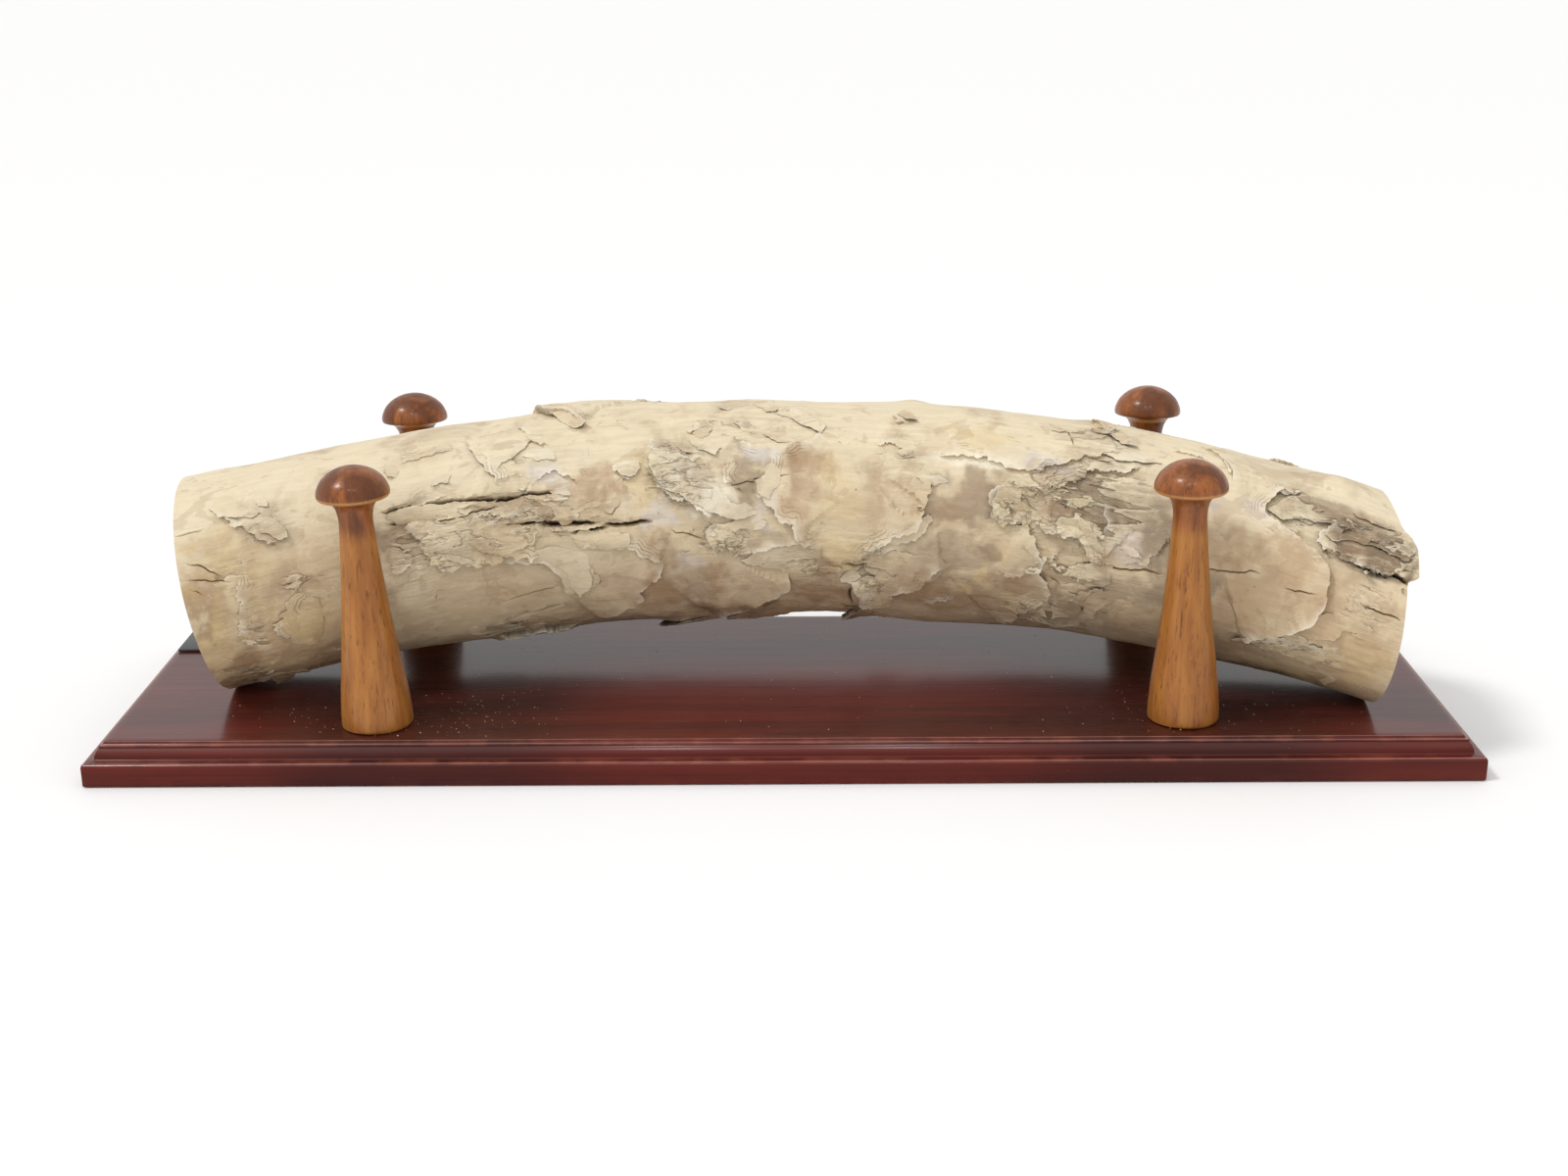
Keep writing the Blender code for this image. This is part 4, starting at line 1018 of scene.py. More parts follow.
def ivoryMaterial():
    made, tree, shader = newMaterial("old_ivory")
    space = reading(tree, "grown", 1)
    hollow, rim, rough, shelf, cap = (
        reading(tree, name) for name in ("hollow", "rim", "rough", "shelf", "cap")
    )
    fibre = placeGroup(
        tree, grainGroup, Vector=space, Stretch=ivoryLook["fibreStretch"], Scale=420.0,
        Low=0.36, High=0.66,
    )
    mottle = noiseAt(tree, space, 34.0, 5.0, 0.62, 0.5)[0]
    blotch = noiseAt(tree, stretched(tree, space, (0.6, 1.0, 1.0)), 95.0, 4.0, 0.6, 0.8)[0]
    checks = placeGroup(
        tree, hairGroup, Vector=space, Stretch=ivoryLook["checkStretch"], Scale=120.0,
        Width=0.022, Amount=plus(tree, times(tree, rough, 0.18), 0.30),
    )["Mask"]
    pits = placeGroup(tree, speckGroup, Vector=space, Scale=190.0, Size=0.11, Amount=0.04)["Mask"]
    large, small = (
        placeGroup(
            tree, layerGroup, Vector=space, Stretch=ivoryLook["layerStretch"], Scale=scale, Count=count
        )
        for scale, count in ((42.0, 11.0), (140.0, 7.0))
    )
    scatter = times(tree, noiseAt(tree, space, 75.0, 4.0, 0.65)[0], 1.5)
    flaky = ramp(tree, plus(tree, minus(tree, rough, 0.75), scatter), 0.30, 0.62)

    # thin layers that show as lines where a ledge or a sawn end cuts them
    split = parted(tree, space)
    across = place(tree, "ShaderNodeCombineXYZ", None, split[1], split[2]).outputs[0]
    radius = place(tree, "ShaderNodeVectorMath", across, operation="LENGTH").outputs[1]
    wobble = times(tree, noiseAt(tree, space, 160.0)[0], 1.6)
    count = plus(tree, calc(tree, "DIVIDE", radius, ivoryLook["layer"]), wobble)
    layers = ramp(tree, calc(tree, "PINGPONG", count, 0.5), 0.05, 0.42)
    rings = ramp(tree, calc(tree, "PINGPONG", calc(tree, "DIVIDE", count, 7.0), 0.5), 0.1, 0.45)
    wall = times(tree, times(tree, rim, hollow), 4.0, clamp=True)
    cutFace = calc(tree, "MAXIMUM", wall, cap)

    # edges of thin layers that follow each ledge, darkened in the colour as painted shade
    warped = plus(
        tree, times(tree, shelf, ledgeLook["shelf"]), times(tree, noiseAt(tree, space, 130.0, 4.0)[0], 5.0)
    )
    contour = ramp(tree, calc(tree, "PINGPONG", warped, 0.8), 0.0, 0.16, 1.0, 0.0)
    contour = times(tree, contour, ramp(tree, shelf, 0.15, 0.75, 1.0, 0.0))
    contour = times(tree, contour, ramp(tree, noiseAt(tree, space, 48.0)[0], 0.52, 0.62))

    # colour, from broad stains to single pits, with painted highlights and painted shade at layer edges,
    # ledges and cracks
    colour = reading(tree, "tint", 0)
    colour = dyed(tree, colour, ramp(tree, mottle, 0.48, 0.68), (172, 140, 106), 0.42)
    colour = dyed(tree, colour, ramp(tree, mottle, 0.30, 0.45, 1.0, 0.0), (236, 224, 200), 0.30)
    colour = dyed(tree, colour, ramp(tree, blotch, 0.565, 0.60), (158, 126, 90), 0.24)
    colour = dyed(tree, colour, ramp(tree, blotch, 0.36, 0.40, 1.0, 0.0), (234, 216, 176), 0.26)
    colour = dyed(tree, colour, fibre["Mask"], (120, 92, 66), 0.10)
    colour = dyed(tree, colour, times(tree, fibre["Mask"], rough, clamp=True), (104, 84, 62), 0.22)
    pale = times(tree, flaky, ramp(tree, large["Pick"], 0.62, 0.64, 0.0, 0.28))
    colour = dyed(tree, colour, pale, (240, 224, 188))
    stained = times(tree, flaky, ramp(tree, large["Pick"], 0.26, 0.28, 0.22, 0.0))
    colour = dyed(tree, colour, stained, (150, 120, 88))
    # painted highlight on the high side and painted shade on the low side of each broken layer's step
    rimHighlight = calc(tree, "MAXIMUM", large["Rim"], times(tree, small["Rim"], 0.4))
    colour = dyed(tree, colour, times(tree, rimHighlight, flaky), (250, 236, 204), 0.36)
    footShade = calc(tree, "MAXIMUM", large["Foot"], times(tree, small["Foot"], 0.35))
    colour = dyed(tree, colour, times(tree, footShade, flaky), (88, 64, 42), 0.60)
    colour = dyed(tree, colour, times(tree, cap, ramp(tree, rings, 0.2, 0.9, 0.0, 0.45)), (140, 110, 76))
    colour = dyed(tree, colour, times(tree, cutFace, times(tree, layers, 0.5)), (120, 92, 64))
    # painted shade along the layer edges
    colour = dyed(tree, colour, contour, (122, 96, 70), 0.28)
    # pale rims along ledges and flake edges: partly fresh edges, partly a painted highlight
    edgePick = ramp(tree, noiseAt(tree, space, 70.0)[0], 0.42, 0.60)
    colour = dyed(tree, colour, times(tree, rim, edgePick), (248, 240, 222), 0.75)
    # painted shade in cracks, end splits, under flakes and at the foot of each ledge
    colour = dyed(tree, colour, ramp(tree, hollow, 0.15, 0.95, 0.0, 0.86), (58, 42, 30))
    colour = dyed(tree, colour, checks, (104, 78, 54), 0.38)
    colour = dyed(tree, colour, pits, (110, 82, 56), 0.5)
    join(tree, colour, shader["Base Color"])

    rougher = plus(tree, times(tree, rough, 0.22), ivoryLook["roughness"])
    rougher = minus(tree, rougher, times(tree, ramp(tree, mottle, 0.5, 0.7), 0.14))
    join(tree, calc(tree, "MINIMUM", rougher, 0.9), shader["Roughness"])

    normal = bumped(tree, noiseAt(tree, space, 210.0, 4.0, 0.6)[0], 0.00045)
    height = times(tree, fibre["Mask"], plus(tree, times(tree, rough, 0.8), 0.22))
    normal = bumped(tree, height, 0.00035, normal)
    normal = bumped(tree, large["Height"], 0.00045, normal, flaky)
    normal = bumped(tree, small["Height"], 0.00012, normal, flaky)
    normal = bumped(tree, fibre["Fine"], 0.00012, normal)
    low = minus(tree, minus(tree, times(tree, checks, -1.0), pits), times(tree, contour, 0.5))
    normal = bumped(tree, low, 0.0007, normal)
    normal = bumped(tree, times(tree, layers, cutFace), 0.0005, normal)
    join(tree, normal, shader["Normal"])
    shader["Subsurface Weight"].default_value = 0.03
    shader["Subsurface Radius"].default_value = (0.004, 0.0025, 0.0015)
    shader["Subsurface Scale"].default_value = 1.0
    return made


ivory = ivoryMaterial()
skin, faces = tuskMesh()
points = np.array(skin["points"])
slopes = settle(points)
tuskPiece = skinObject("tusk_section", points, skin, faces, tusk["smooth"])
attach(tuskPiece, "root")
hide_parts("tusk")
print("tusk made:", len(tuskPiece.data.polygons), "faces")


# Thin plates that still hang on: rise at the free edge, thickness, the way it rises on the chart
# (0 along the tusk, 90 up its front), tint, then the outline's turns.
flakes = [
    (1.5, 0.5, -100, "bone", [(-272, 55), (-268, 61), (-262, 61), (-258, 55), (-254, 49), (-250, 45),
        (-254, 42), (-262, 45), (-266, 47), (-270, 51)]),
    (2.2, 0.6, -80, "cream", [(-262, 43), (-256, 45), (-248, 43), (-244, 39), (-241, 34), (-240, 29),
        (-246, 30), (-252, 34), (-258, 38)]),
    (1.0, 0.4, -60, "cream", [(-252, 55), (-248, 55), (-246, 51), (-246, 47), (-250, 49)]),
    (1.1, 0.5, 170, "straw", [(-256, -13), (-250, -11), (-252, -9), (-248, -7), (-248, -3), (-240, 1),
        (-232, -4), (-232, -17), (-234, -27), (-238, -29), (-242, -25), (-250, -27), (-248, -21),
        (-252, -19)]),
    (1.6, 0.5, 190, "cream", [(-150, 65), (-144, 69), (-134, 69), (-128, 73), (-120, 65), (-124, 55),
        (-136, 48), (-142, 43), (-145, 49), (-148, 55)]),
    (1.8, 0.6, -90, "tan", [(-113, 95), (-104, 92), (-98, 80), (-94, 69), (-98, 68), (-104, 74),
        (-110, 84)]),
    (1.4, 0.5, 170, "bone", [(-190, 59), (-186, 59), (-184, 55), (-186, 51), (-190, 52)]),
    (1.6, 0.5, -120, "cream", [(-186, 21), (-180, 25), (-170, 23), (-164, 21), (-160, 15), (-156, 11),
        (-152, 6), (-152, 1), (-158, -1), (-166, 2), (-174, 5), (-178, 9), (-181, 13), (-180, 17)]),
    (1.3, 0.4, -100, "bone", [(-160, 15), (-152, 18), (-140, 17), (-130, 14), (-123, 11), (-126, 5),
        (-136, 3), (-146, 3), (-152, 5), (-157, 10)]),
    (1.2, 0.4, -95, "cream", [(-132, 1), (-122, 2), (-110, 0), (-101, -4), (-99, -15), (-101, -23),
        (-106, -28), (-110, -21), (-111, -13), (-115, -9), (-122, -6), (-130, -4)]),
    (1.6, 0.5, 95, "bone", [(-194, 29), (-184, 33), (-174, 33), (-164, 32), (-152, 31), (-140, 30),
        (-142, 26), (-154, 25), (-166, 24), (-178, 24), (-190, 26)]),
    (1.2, 0.4, -90, "bone", [(-108, 7), (-96, 8), (-86, 6), (-78, 5), (-79, -1), (-90, -2), (-104, 0)]),
    (3.2, 0.7, -125, "chalk", [(-66, 41), (-62, 53), (-54, 50), (-48, 45), (-43, 38), (-36, 31), (-31, 23),
        (-26, 17), (-16, 16), (-13, 11), (-22, 9), (-32, 11), (-37, 13), (-43, 17), (-52, 23), (-60, 26),
        (-64, 32)]),
    (2.0, 0.5, 60, "cream", [(-60, 36), (-56, 45), (-50, 40), (-45, 34), (-40, 27), (-36, 20), (-42, 21),
        (-48, 24), (-54, 28)]),
    (1.3, 0.4, -90, "chalk", [(-82, 41), (-78, 43), (-70, 43), (-70, 38), (-73, 34), (-79, 34)]),
    (2.0, 0.5, -110, "cream", [(-40, 3), (-34, 7), (-24, 9), (-14, 10), (-13, 6), (-24, 3), (-30, -1),
        (-31, -7), (-36, -6)]),
    (1.4, 0.5, 90, "tan", [(-44, 58), (-38, 65), (-34, 60), (-36, 56), (-40, 54)]),
    (1.3, 0.4, -90, "cream", [(-46, 54), (-38, 52), (-30, 47), (-33, 42), (-41, 46)]),
    (1.9, 0.5, 170, "cream", [(-14, 27), (-6, 34), (-1, 32), (-1, 27), (-5, 23), (-7, 18), (-11, 20)]),
    (1.4, 0.5, -170, "bone", [(-22, -13), (-14, -9), (-4, -6), (12, -4), (20, -5), (19, -13), (16, -23),
        (12, -27), (5, -29), (0, -21), (-10, -18)]),
    (2.4, 0.6, -160, "chalk", [(36, -26), (42, -23), (50, -22), (52, -28), (47, -36), (43, -42),
        (39, -33)]),
    (2.2, 0.6, -95, "bone", [(44, -12), (46, -7), (56, -6), (64, -7), (72, -8), (80, -9), (88, -14),
        (80, -24), (70, -30), (58, -34), (56, -43), (46, -47), (44, -36), (48, -28), (49, -21), (43, -18)]),
    (2.0, 0.6, -50, "cream", [(49, -4), (55, 1), (62, 5), (68, 9), (74, 14), (77, 10), (71, 2), (62, -2),
        (54, -6)]),
    (4.4, 3.4, 180, "umber", [(31, -76), (36, -66), (46, -64), (54, -72), (50, -86), (36, -88)]),
    (2.8, 0.7, 185, "umber", [(-66, -78), (-56, -68), (-40, -64), (-28, -66), (-36, -78), (-50, -86),
        (-62, -86)]),
    (3.0, 0.6, -90, "tan", [(-264, -58), (-257, -56), (-252, -64), (-255, -76), (-262, -74)]),
    (1.4, 0.5, -80, "tan", [(-30, -72), (-18, -56), (-4, -50), (8, -52), (4, -64), (-8, -76), (-22, -78)]),
    (1.2, 0.4, -85, "cream", [(-14, 87), (-2, 83), (10, 72), (21, 60), (19, 55), (11, 61), (3, 70),
        (-8, 78)]),
    (1.6, 0.6, -60, "tan", [(55, 75), (58, 81), (62, 76), (65, 67), (60, 67)]),
    (2.0, 0.5, 190, "bone", [(106, 23), (108, 29), (112, 35), (120, 37), (128, 33), (126, 29), (120, 29),
        (120, 23), (126, 18), (122, 14), (115, 14), (109, 14)]),
    (1.6, 0.5, 120, "taupe", [(128, 31), (122, 33), (120, 29), (124, 25), (130, 20), (137, 17), (136, 22),
        (132, 27)]),
    (1.6, 0.5, -60, "taupe", [(138, 26), (150, 22), (160, 14), (166, 6), (158, 4), (150, 9), (142, 14),
        (136, 19)]),
    (1.2, 0.4, -100, "taupe", [(152, -3), (162, -1), (171, -1), (171, -11), (163, -14), (154, -13)]),
    (1.6, 0.5, -110, "tan", [(158, -25), (162, -18), (171, -15), (174, -20), (167, -27), (164, -36),
        (158, -33)]),
    (1.4, 0.5, -120, "ash", [(142, -34), (150, -21), (158, -24), (157, -33), (150, -46), (142, -45)]),
    (1.3, 0.4, -150, "bone", [(137, -14), (144, -17), (143, -28), (134, -43), (122, -56), (126, -44),
        (134, -30), (139, -22)]),
    (1.8, 0.6, -70, "tan", [(146, 97), (152, 99), (159, 89), (167, 74), (171, 68), (163, 70), (155, 78),
        (148, 87)]),
    (1.3, 0.4, -90, "chalk", [(154, 60), (168, 65), (178, 65), (184, 61), (174, 58), (162, 56)]),
    (1.3, 0.4, -95, "chalk", [(236, -27), (244, -22.5), (256, -19.5), (268, -18), (280, -19), (288, -15),
        (286, -20), (272, -22.5), (256, -24.5), (243, -28.5)]),
    (0.8, 0.4, -60, "tan", [(262, -14), (270, -8), (275, 0), (282, 2), (288, -4), (286, -11), (276, -14)]),
    (2.0, 0.6, -110, "ash", [(238, 47), (246, 59), (254, 64), (266, 58), (280, 54), (292, 56), (296, 51),
        (280, 48), (266, 48), (256, 47), (248, 43)]),
    (2.4, 0.7, -95, "ash", [(268, 40), (272, 50), (280, 53), (292, 51), (304, 52), (309, 45), (308, 40),
        (296, 41), (284, 41), (275, 38)]),
    (2.4, 0.7, -95, "ash", [(272, 36), (278, 41), (290, 42), (304, 42), (309, 38), (306, 32), (294, 31),
        (280, 31)]),
    (1.0, 0.5, -90, "tan", [(276, 60), (284, 64), (294, 62), (297, 57), (286, 56)]),
    (1.0, 0.4, -90, "bone", [(280, -47), (284, -41), (289, -41), (284, -51)]),
    # slivers over the two long fissures
    (1.2, 0.4, 90, "cream", [(-190, 36), (-176, 38), (-164, 35), (-172, 34.5), (-184, 34)]),
    (1.2, 0.4, -90, "bone", [(-176, 31), (-162, 30.5), (-150, 28.5), (-156, 27.5), (-170, 28.5)]),
    (1.2, 0.4, 90, "cream", [(-152, 33.5), (-138, 32.5), (-126, 31), (-134, 30.3), (-146, 31.2)]),
    (1.0, 0.4, -90, "cream", [(-128, 27.5), (-116, 27), (-106, 25.5), (-112, 24.5), (-124, 25.5)]),
    (1.2, 0.4, 90, "cream", [(-138, 18), (-126, 18.5), (-114, 16.5), (-122, 15.8), (-134, 16)]),
    (1.4, 0.4, -90, "bone", [(-118, 11.8), (-106, 11), (-94, 10), (-104, 9.2), (-114, 9.8)]),
    (1.2, 0.4, 90, "cream", [(-98, 13.8), (-86, 12.6), (-76, 11.4), (-86, 10.8), (-94, 11.6)]),
    (1.6, 0.5, -90, "tan", [(-60, 130), (-30, 138), (0, 134), (-6, 122), (-36, 118)]),
    (1.6, 0.5, 90, "bone", [(80, 140), (110, 150), (146, 142), (132, 128), (96, 128)]),
    (1.6, 0.5, 180, "tan", [(-200, 140), (-176, 148), (-150, 140), (-160, 124), (-190, 126)]),
    (1.6, 0.5, -90, "rose", [(200, 142), (226, 152), (244, 140), (230, 126), (206, 128)]),
]
# Small plates broken up in the rough places, and how every plate is made.
chips = {
    "seed": 77,
    "most": 5.5,
    "area": 300.0,
    "spread": 0.55,
    "length": (2.6, 9.5),
    "slim": (0.22, 0.5),
    "swirl": 0.35,
    "corners": 6,
    "cornerReach": (0.55, 1.15),
    "rise": (0.4, 1.5),
    "thick": (0.3, 0.5),
    "way": (-90, 55),
    "between": (-276, 284),
}
plateLook = {
    "ragged": 0.10,
    "teeth": 1.6,
    "inner": (0.42, 0.36),
    "grid": (1.6, 1.4),
    "gridClear": 1.1,
    "lift": 0.35,
    "curve": 1.7,
    "wave": 0.14,
    "wavePace": (0.5, 0.45),
    "taper": 0.5,
    "ownTint": 0.4,
    # the underside's darker copy and its hollow mask are painted shade
    "underShade": 0.62,
    "underShadeMask": 0.8,
    "rim": (0.35, 0.65),
    "mostRough": 0.8,
    "smooth": 30.0,
}


def chipRows():
    dice = np.random.default_rng(chips["seed"])
    rows = []
    swing = chips["swirl"]
    for along, around, long, wide, strong in roughPlaces:
        for _ in range(int(round(chips["most"] * strong * min(1.0, long * wide / chips["area"])))):
            s = along + dice.normal() * chips["spread"] * long
            v = around * degree + dice.normal() * chips["spread"] * wide
            size = dice.uniform(*chips["length"])
            slim = dice.uniform(*chips["slim"])
            swirl = dice.uniform(-swing, swing)
            turns = []
            for corner in range(chips["corners"]):
                angle = 2.0 * math.pi * (corner + dice.uniform(-swing, swing)) / chips["corners"]
                reach = size * dice.uniform(*chips["cornerReach"])
                u, w = reach * math.cos(angle), reach * slim * math.sin(angle)
                turns.append((s + u * math.cos(swirl) - w * math.sin(swirl),
                              (v + u * math.sin(swirl) + w * math.cos(swirl)) / degree))
            tone = str(dice.choice(["bone", "cream", "tan", "chalk", "straw"]))
            rise = dice.uniform(*chips["rise"])
            row = (rise, dice.uniform(*chips["thick"]), dice.normal(*chips["way"]), tone, turns)
            if chips["between"][0] < s - size and s + size < chips["between"][1]:
                rows.append(row)
    return rows


def apart(spots, line):
    return np.linalg.norm(spots[:, None] - line[None], axis=2).min(axis=1)


def plateChart(index, turns):
    rim = ragged(turns + turns[:1], plateLook["ragged"], 500 + index, plateLook["teeth"])[:-1]
    spin = np.sign(np.sum(rim[:, 0] * np.roll(rim[:, 1], -1) - rim[:, 1] * np.roll(rim[:, 0], -1)))
    inset, clear = plateLook["inner"]
    inner = rim + spin * inset * leftOf(rim, 3)
    inner = inner[apart(inner, rim) > clear]
    stepAlong, stepAcross = plateLook["grid"]
    grid = []
    for row, v in enumerate(np.arange(rim[:, 1].min(), rim[:, 1].max(), stepAcross)):
        start = rim[:, 0].min() + stepAlong / 2 * (row % 2)
        grid += [(s, v) for s in np.arange(start, rim[:, 0].max(), stepAlong)]
    grid = np.array(grid)
    grid = grid[apart(grid, rim) > plateLook["gridClear"]]
    spots = [Vector(spot) for spot in np.concatenate([rim, inner, grid])]
    made, _, faces, _, _, _ = geometry.delaunay_2d_cdt(spots, [], [list(range(len(rim)))], 1, 1e-4)
    kept = sorted({i for face in faces for i in face})
    number = {old: new for new, old in enumerate(kept)}
    faces = [[number[i] for i in face] for face in faces]
    return np.array([(made[i].x, made[i].y) for i in kept]), faces


def borderOf(faces):
    # edges that only one face has, in that face's own sense of turning
    ways = {(a, b): True for face in faces for a, b in zip(face, face[1:] + face[:1])}
    return [(a, b) for a, b in ways if (b, a) not in ways]


def flakeMesh():
    # each plate follows a smooth fit of the surface under it and rises towards its free edge
    plates = [plateChart(index, row[4]) for index, row in enumerate(flakes)]
    everySpot = np.concatenate([spots for spots, _ in plates])
    lifts, _, masks = tuskRelief(everySpot)
    colours = tuskColour(everySpot, straightened(everySpot, 0.0))
    corners = []
    skin = {name: [] for name in ("points", "grown", "tint", "hollow", "rim", "rough", "shelf")}
    first = 0
    for index, ((spots, faces), (rise, thick, way, tone, _)) in enumerate(zip(plates, flakes)):
        here = slice(first, first + len(spots))
        first += len(spots)
        u, v = (spots - spots.mean(axis=0)).T
        terms = np.stack([np.ones(len(u)), u, v, u * u, u * v, v * v], axis=1)
        fit = terms @ np.linalg.lstsq(terms, lifts[here], rcond=None)[0]
        turn = math.radians(way)
        along = spots @ np.array([math.cos(turn), math.sin(turn)])
        share = (along - along.min()) / (along.max() - along.min())
        paceAlong, paceAcross = plateLook["wavePace"]
        wave = np.sin(u * paceAlong + index) * np.cos(v * paceAcross + 2.0 * index)
        top = fit + plateLook["lift"] + rise * share ** plateLook["curve"]
        top = top + plateLook["wave"] * rise * share * wave
        bottom = top - thick - plateLook["taper"] * (1.0 - share)
        count = len(spots)
        start = len(skin["points"])
        mix = colours[here] * (1.0 - plateLook["ownTint"]) + toneOf(tone) * warmth * plateLook["ownTint"]
        # the underside is a darker copy of the top: painted shade
        for lift, shade in ((top, 1.0), (bottom, plateLook["underShade"])):
            skin["points"] += list(map(tuple, tuskPoint(spots[:, 0], spots[:, 1] / degree, lift)))
            skin["grown"] += list(map(tuple, straightened(spots, lift)))
            skin["tint"] += list(map(tuple, mix * shade))
        edge = np.zeros(count)
        for a, b in borderOf(faces):
            edge[a] = 1.0
            corners.append([start + b, start + a, start + count + a, start + count + b])
        corners += [[start + i for i in face] for face in faces]
        corners += [[start + count + i for i in face[::-1]] for face in faces]
        # the rim grows paler towards the free edge: partly fresh edge, partly a painted highlight
        least, more = plateLook["rim"]
        skin["rim"] += list(edge * (least + more * share)) + [0.0] * count
        skin["hollow"] += [0.0] * count + [plateLook["underShadeMask"]] * count
        skin["rough"] += list(np.minimum(masks["rough"][here], plateLook["mostRough"])) * 2
        skin["shelf"] += [1.0] * (2 * count)
    skin["cap"] = [0.0] * len(skin["points"])
    return skin, corners


flakes += chipRows()
skin, faces = flakeMesh()
points = np.array(skin["points"])
for near, slope in slopes:
    points[:, 2] -= near + slope * points[:, 0]
flakePiece = skinObject("tusk_flakes", points, skin, faces, plateLook["smooth"])
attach(flakePiece, "root")
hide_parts("tusk")
print("flakes made:", len(flakePiece.data.polygons), "faces")


# the board, one rectangle with cut corners for each turn of its moulding
board = {
    "length": 635.0,
    "depth": 184.4,
    "corner": 0.8,
    "cornerShare": 0.29,
    "around": 12,
    "profile": [
        (0.9, 0.0), (0.35, 0.15), (0.0, 0.7), (0.0, 5.0), (0.0, 9.3), (0.12, 9.9), (0.45, 10.5),
        (0.9, 10.85), (1.6, 11.0), (3.6, 11.1), (4.5, 11.25), (4.85, 11.6), (4.95, 12.2),
        (5.05, 13.0), (5.3, 13.9), (5.75, 14.8), (6.3, 15.6), (6.75, 16.15), (6.95, 16.5),
        (6.8, 16.75), (6.75, 17.0), (6.95, 17.35), (7.4, 17.5), (7.9, 17.45), (8.25, 17.55),
        (8.5, 17.9), (8.65, 18.5), (8.85, 18.85), (9.3, 19.0), (12.0, 19.0),
    ],
    "arrises": (0.0, 10.85, 17.45, 18.85),
    "arrisReach": 0.35,
    "flatTurns": 2,
    "smooth": 35.0,
}


def stacked(around, rings):
    # faces of a closed body built of rings of corners, one above the other
    faces = [list(range(around))[::-1], [around * (rings - 1) + i for i in range(around)]]
    for ring in range(rings - 1):
        for i in range(around):
            j = (i + 1) % around
            a = ring * around
            faces.append([a + i, a + j, a + around + j, a + around + i])
    return faces


def boardMesh():
    corners = []
    cut = board["corner"]
    within = board["cornerShare"] * cut
    for inset, height in board["profile"]:
        x = board["length"] / 2 - inset
        y = board["depth"] / 2 - inset
        for sx, sy in ((-1, -1), (1, -1), (1, 1), (-1, 1)):
            onSide = (sx * x, sy * (y - cut), height)
            onFront = (sx * (x - cut), sy * y, height)
            middle = (sx * (x - within), sy * (y - within), height)
            corners += [onSide, middle, onFront] if sx * sy > 0 else [onFront, middle, onSide]
    return corners, stacked(board["around"], len(board["profile"]))


def woodBoardMaterial():
    made, tree, shader = newMaterial("varnished_mahogany")
    where = objectCoords(tree)
    figure = noiseAt(tree, stretched(tree, where, (0.22, 2.0, 2.0)), 9.0, 4.0, 0.55, 0.5)[0]
    bands, streaks, pores = (
        placeGroup(
            tree, grainGroup, Vector=where, Stretch=(stretch, 1.0, 1.0), Scale=scale, Low=low, High=high
        )
        for stretch, scale, low, high in (
            (0.025, 95.0, 0.28, 0.74), (0.02, 330.0, 0.42, 0.72), (0.04, 900.0, 0.62, 0.72)
        )
    )
    colour = dyed(tree, paint(104, 36, 27), bands["Mask"], (78, 25, 20))
    colour = dyed(tree, colour, ramp(tree, figure, 0.46, 0.68, 0.0, 0.72), (50, 19, 17))
    colour = dyed(tree, colour, ramp(tree, figure, 0.30, 0.44, 0.40, 0.0), (122, 50, 36))
    # painted shade and a painted reflection of the tusk's dark underside, to both sides, where the tusk's
    # ends and the pegs stand
    sideways = calc(tree, "ABSOLUTE", minus(tree, parted(tree, where)[0], 0.01))
    shaded = times(tree, ramp(tree, sideways, 0.07, 0.15), ramp(tree, sideways, 0.21, 0.27, 1.0, 0.0))
    colour = dyed(tree, colour, shaded, (42, 15, 13), 0.66)
    colour = dyed(tree, colour, streaks["Mask"], (48, 17, 15), 0.30)
    colour = dyed(tree, colour, pores["Mask"], (34, 12, 11), 0.45)
    # rubbed arrises, partly real wear and partly a painted highlight, with painted glints along them
    edge = reading(tree, "arris")
    wearAndHighlight = times(tree, edge, ramp(tree, noiseAt(tree, where, 60.0, 4.0)[0], 0.44, 0.62))
    colour = dyed(tree, colour, wearAndHighlight, (160, 88, 66), 0.45)
    paintedGlint = ramp(tree, bands["Mask"], 0.2, 0.9, 0.35, 0.75)
    colour = dyed(tree, colour, times(tree, ramp(tree, edge, 0.74, 0.98), paintedGlint), (214, 158, 138))
    dust = placeGroup(tree, speckGroup, Vector=where, Scale=420.0, Size=0.10, Amount=0.02)["Mask"]
    colour = dyed(tree, colour, dust, (220, 200, 180), 0.35)
    join(tree, colour, shader["Base Color"])
    join(tree, ramp(tree, streaks["Fine"], 0.35, 0.65, 0.42, 0.52), shader["Roughness"])
    normal = bumped(tree, pores["Mask"], -0.00005)
    wave = noiseAt(tree, stretched(tree, where, (0.12, 1.0, 1.0)), 34.0, 2.0)[0]
    join(tree, bumped(tree, wave, 0.00008, normal), shader["Normal"])
    shader["Specular IOR Level"].default_value = 0.06
    # the varnish mirrors most where it lies flat
    facing = parted(tree, tree.nodes.new("ShaderNodeNewGeometry").outputs["Normal"])[2]
    join(tree, ramp(tree, facing, 0.1, 0.8, 0.22, 0.95), shader["Coat Weight"])
    shader["Coat Roughness"].default_value = 0.19
    return made


corners, faces = boardMesh()
boardPiece = meshObject("varnished_board", corners, faces, woodBoardMaterial(), board["smooth"])
heights = np.array([c[2] for c in corners])
arris = np.zeros(len(corners))
for level in board["arrises"]:
    arris = np.maximum(arris, np.exp(-np.abs(heights - level) / board["arrisReach"]))
arris[-board["around"] * board["flatTurns"]:] = 0.0
addMask(boardPiece, "arris", arris)
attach(boardPiece, "root")
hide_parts("base_board")
print("board made")


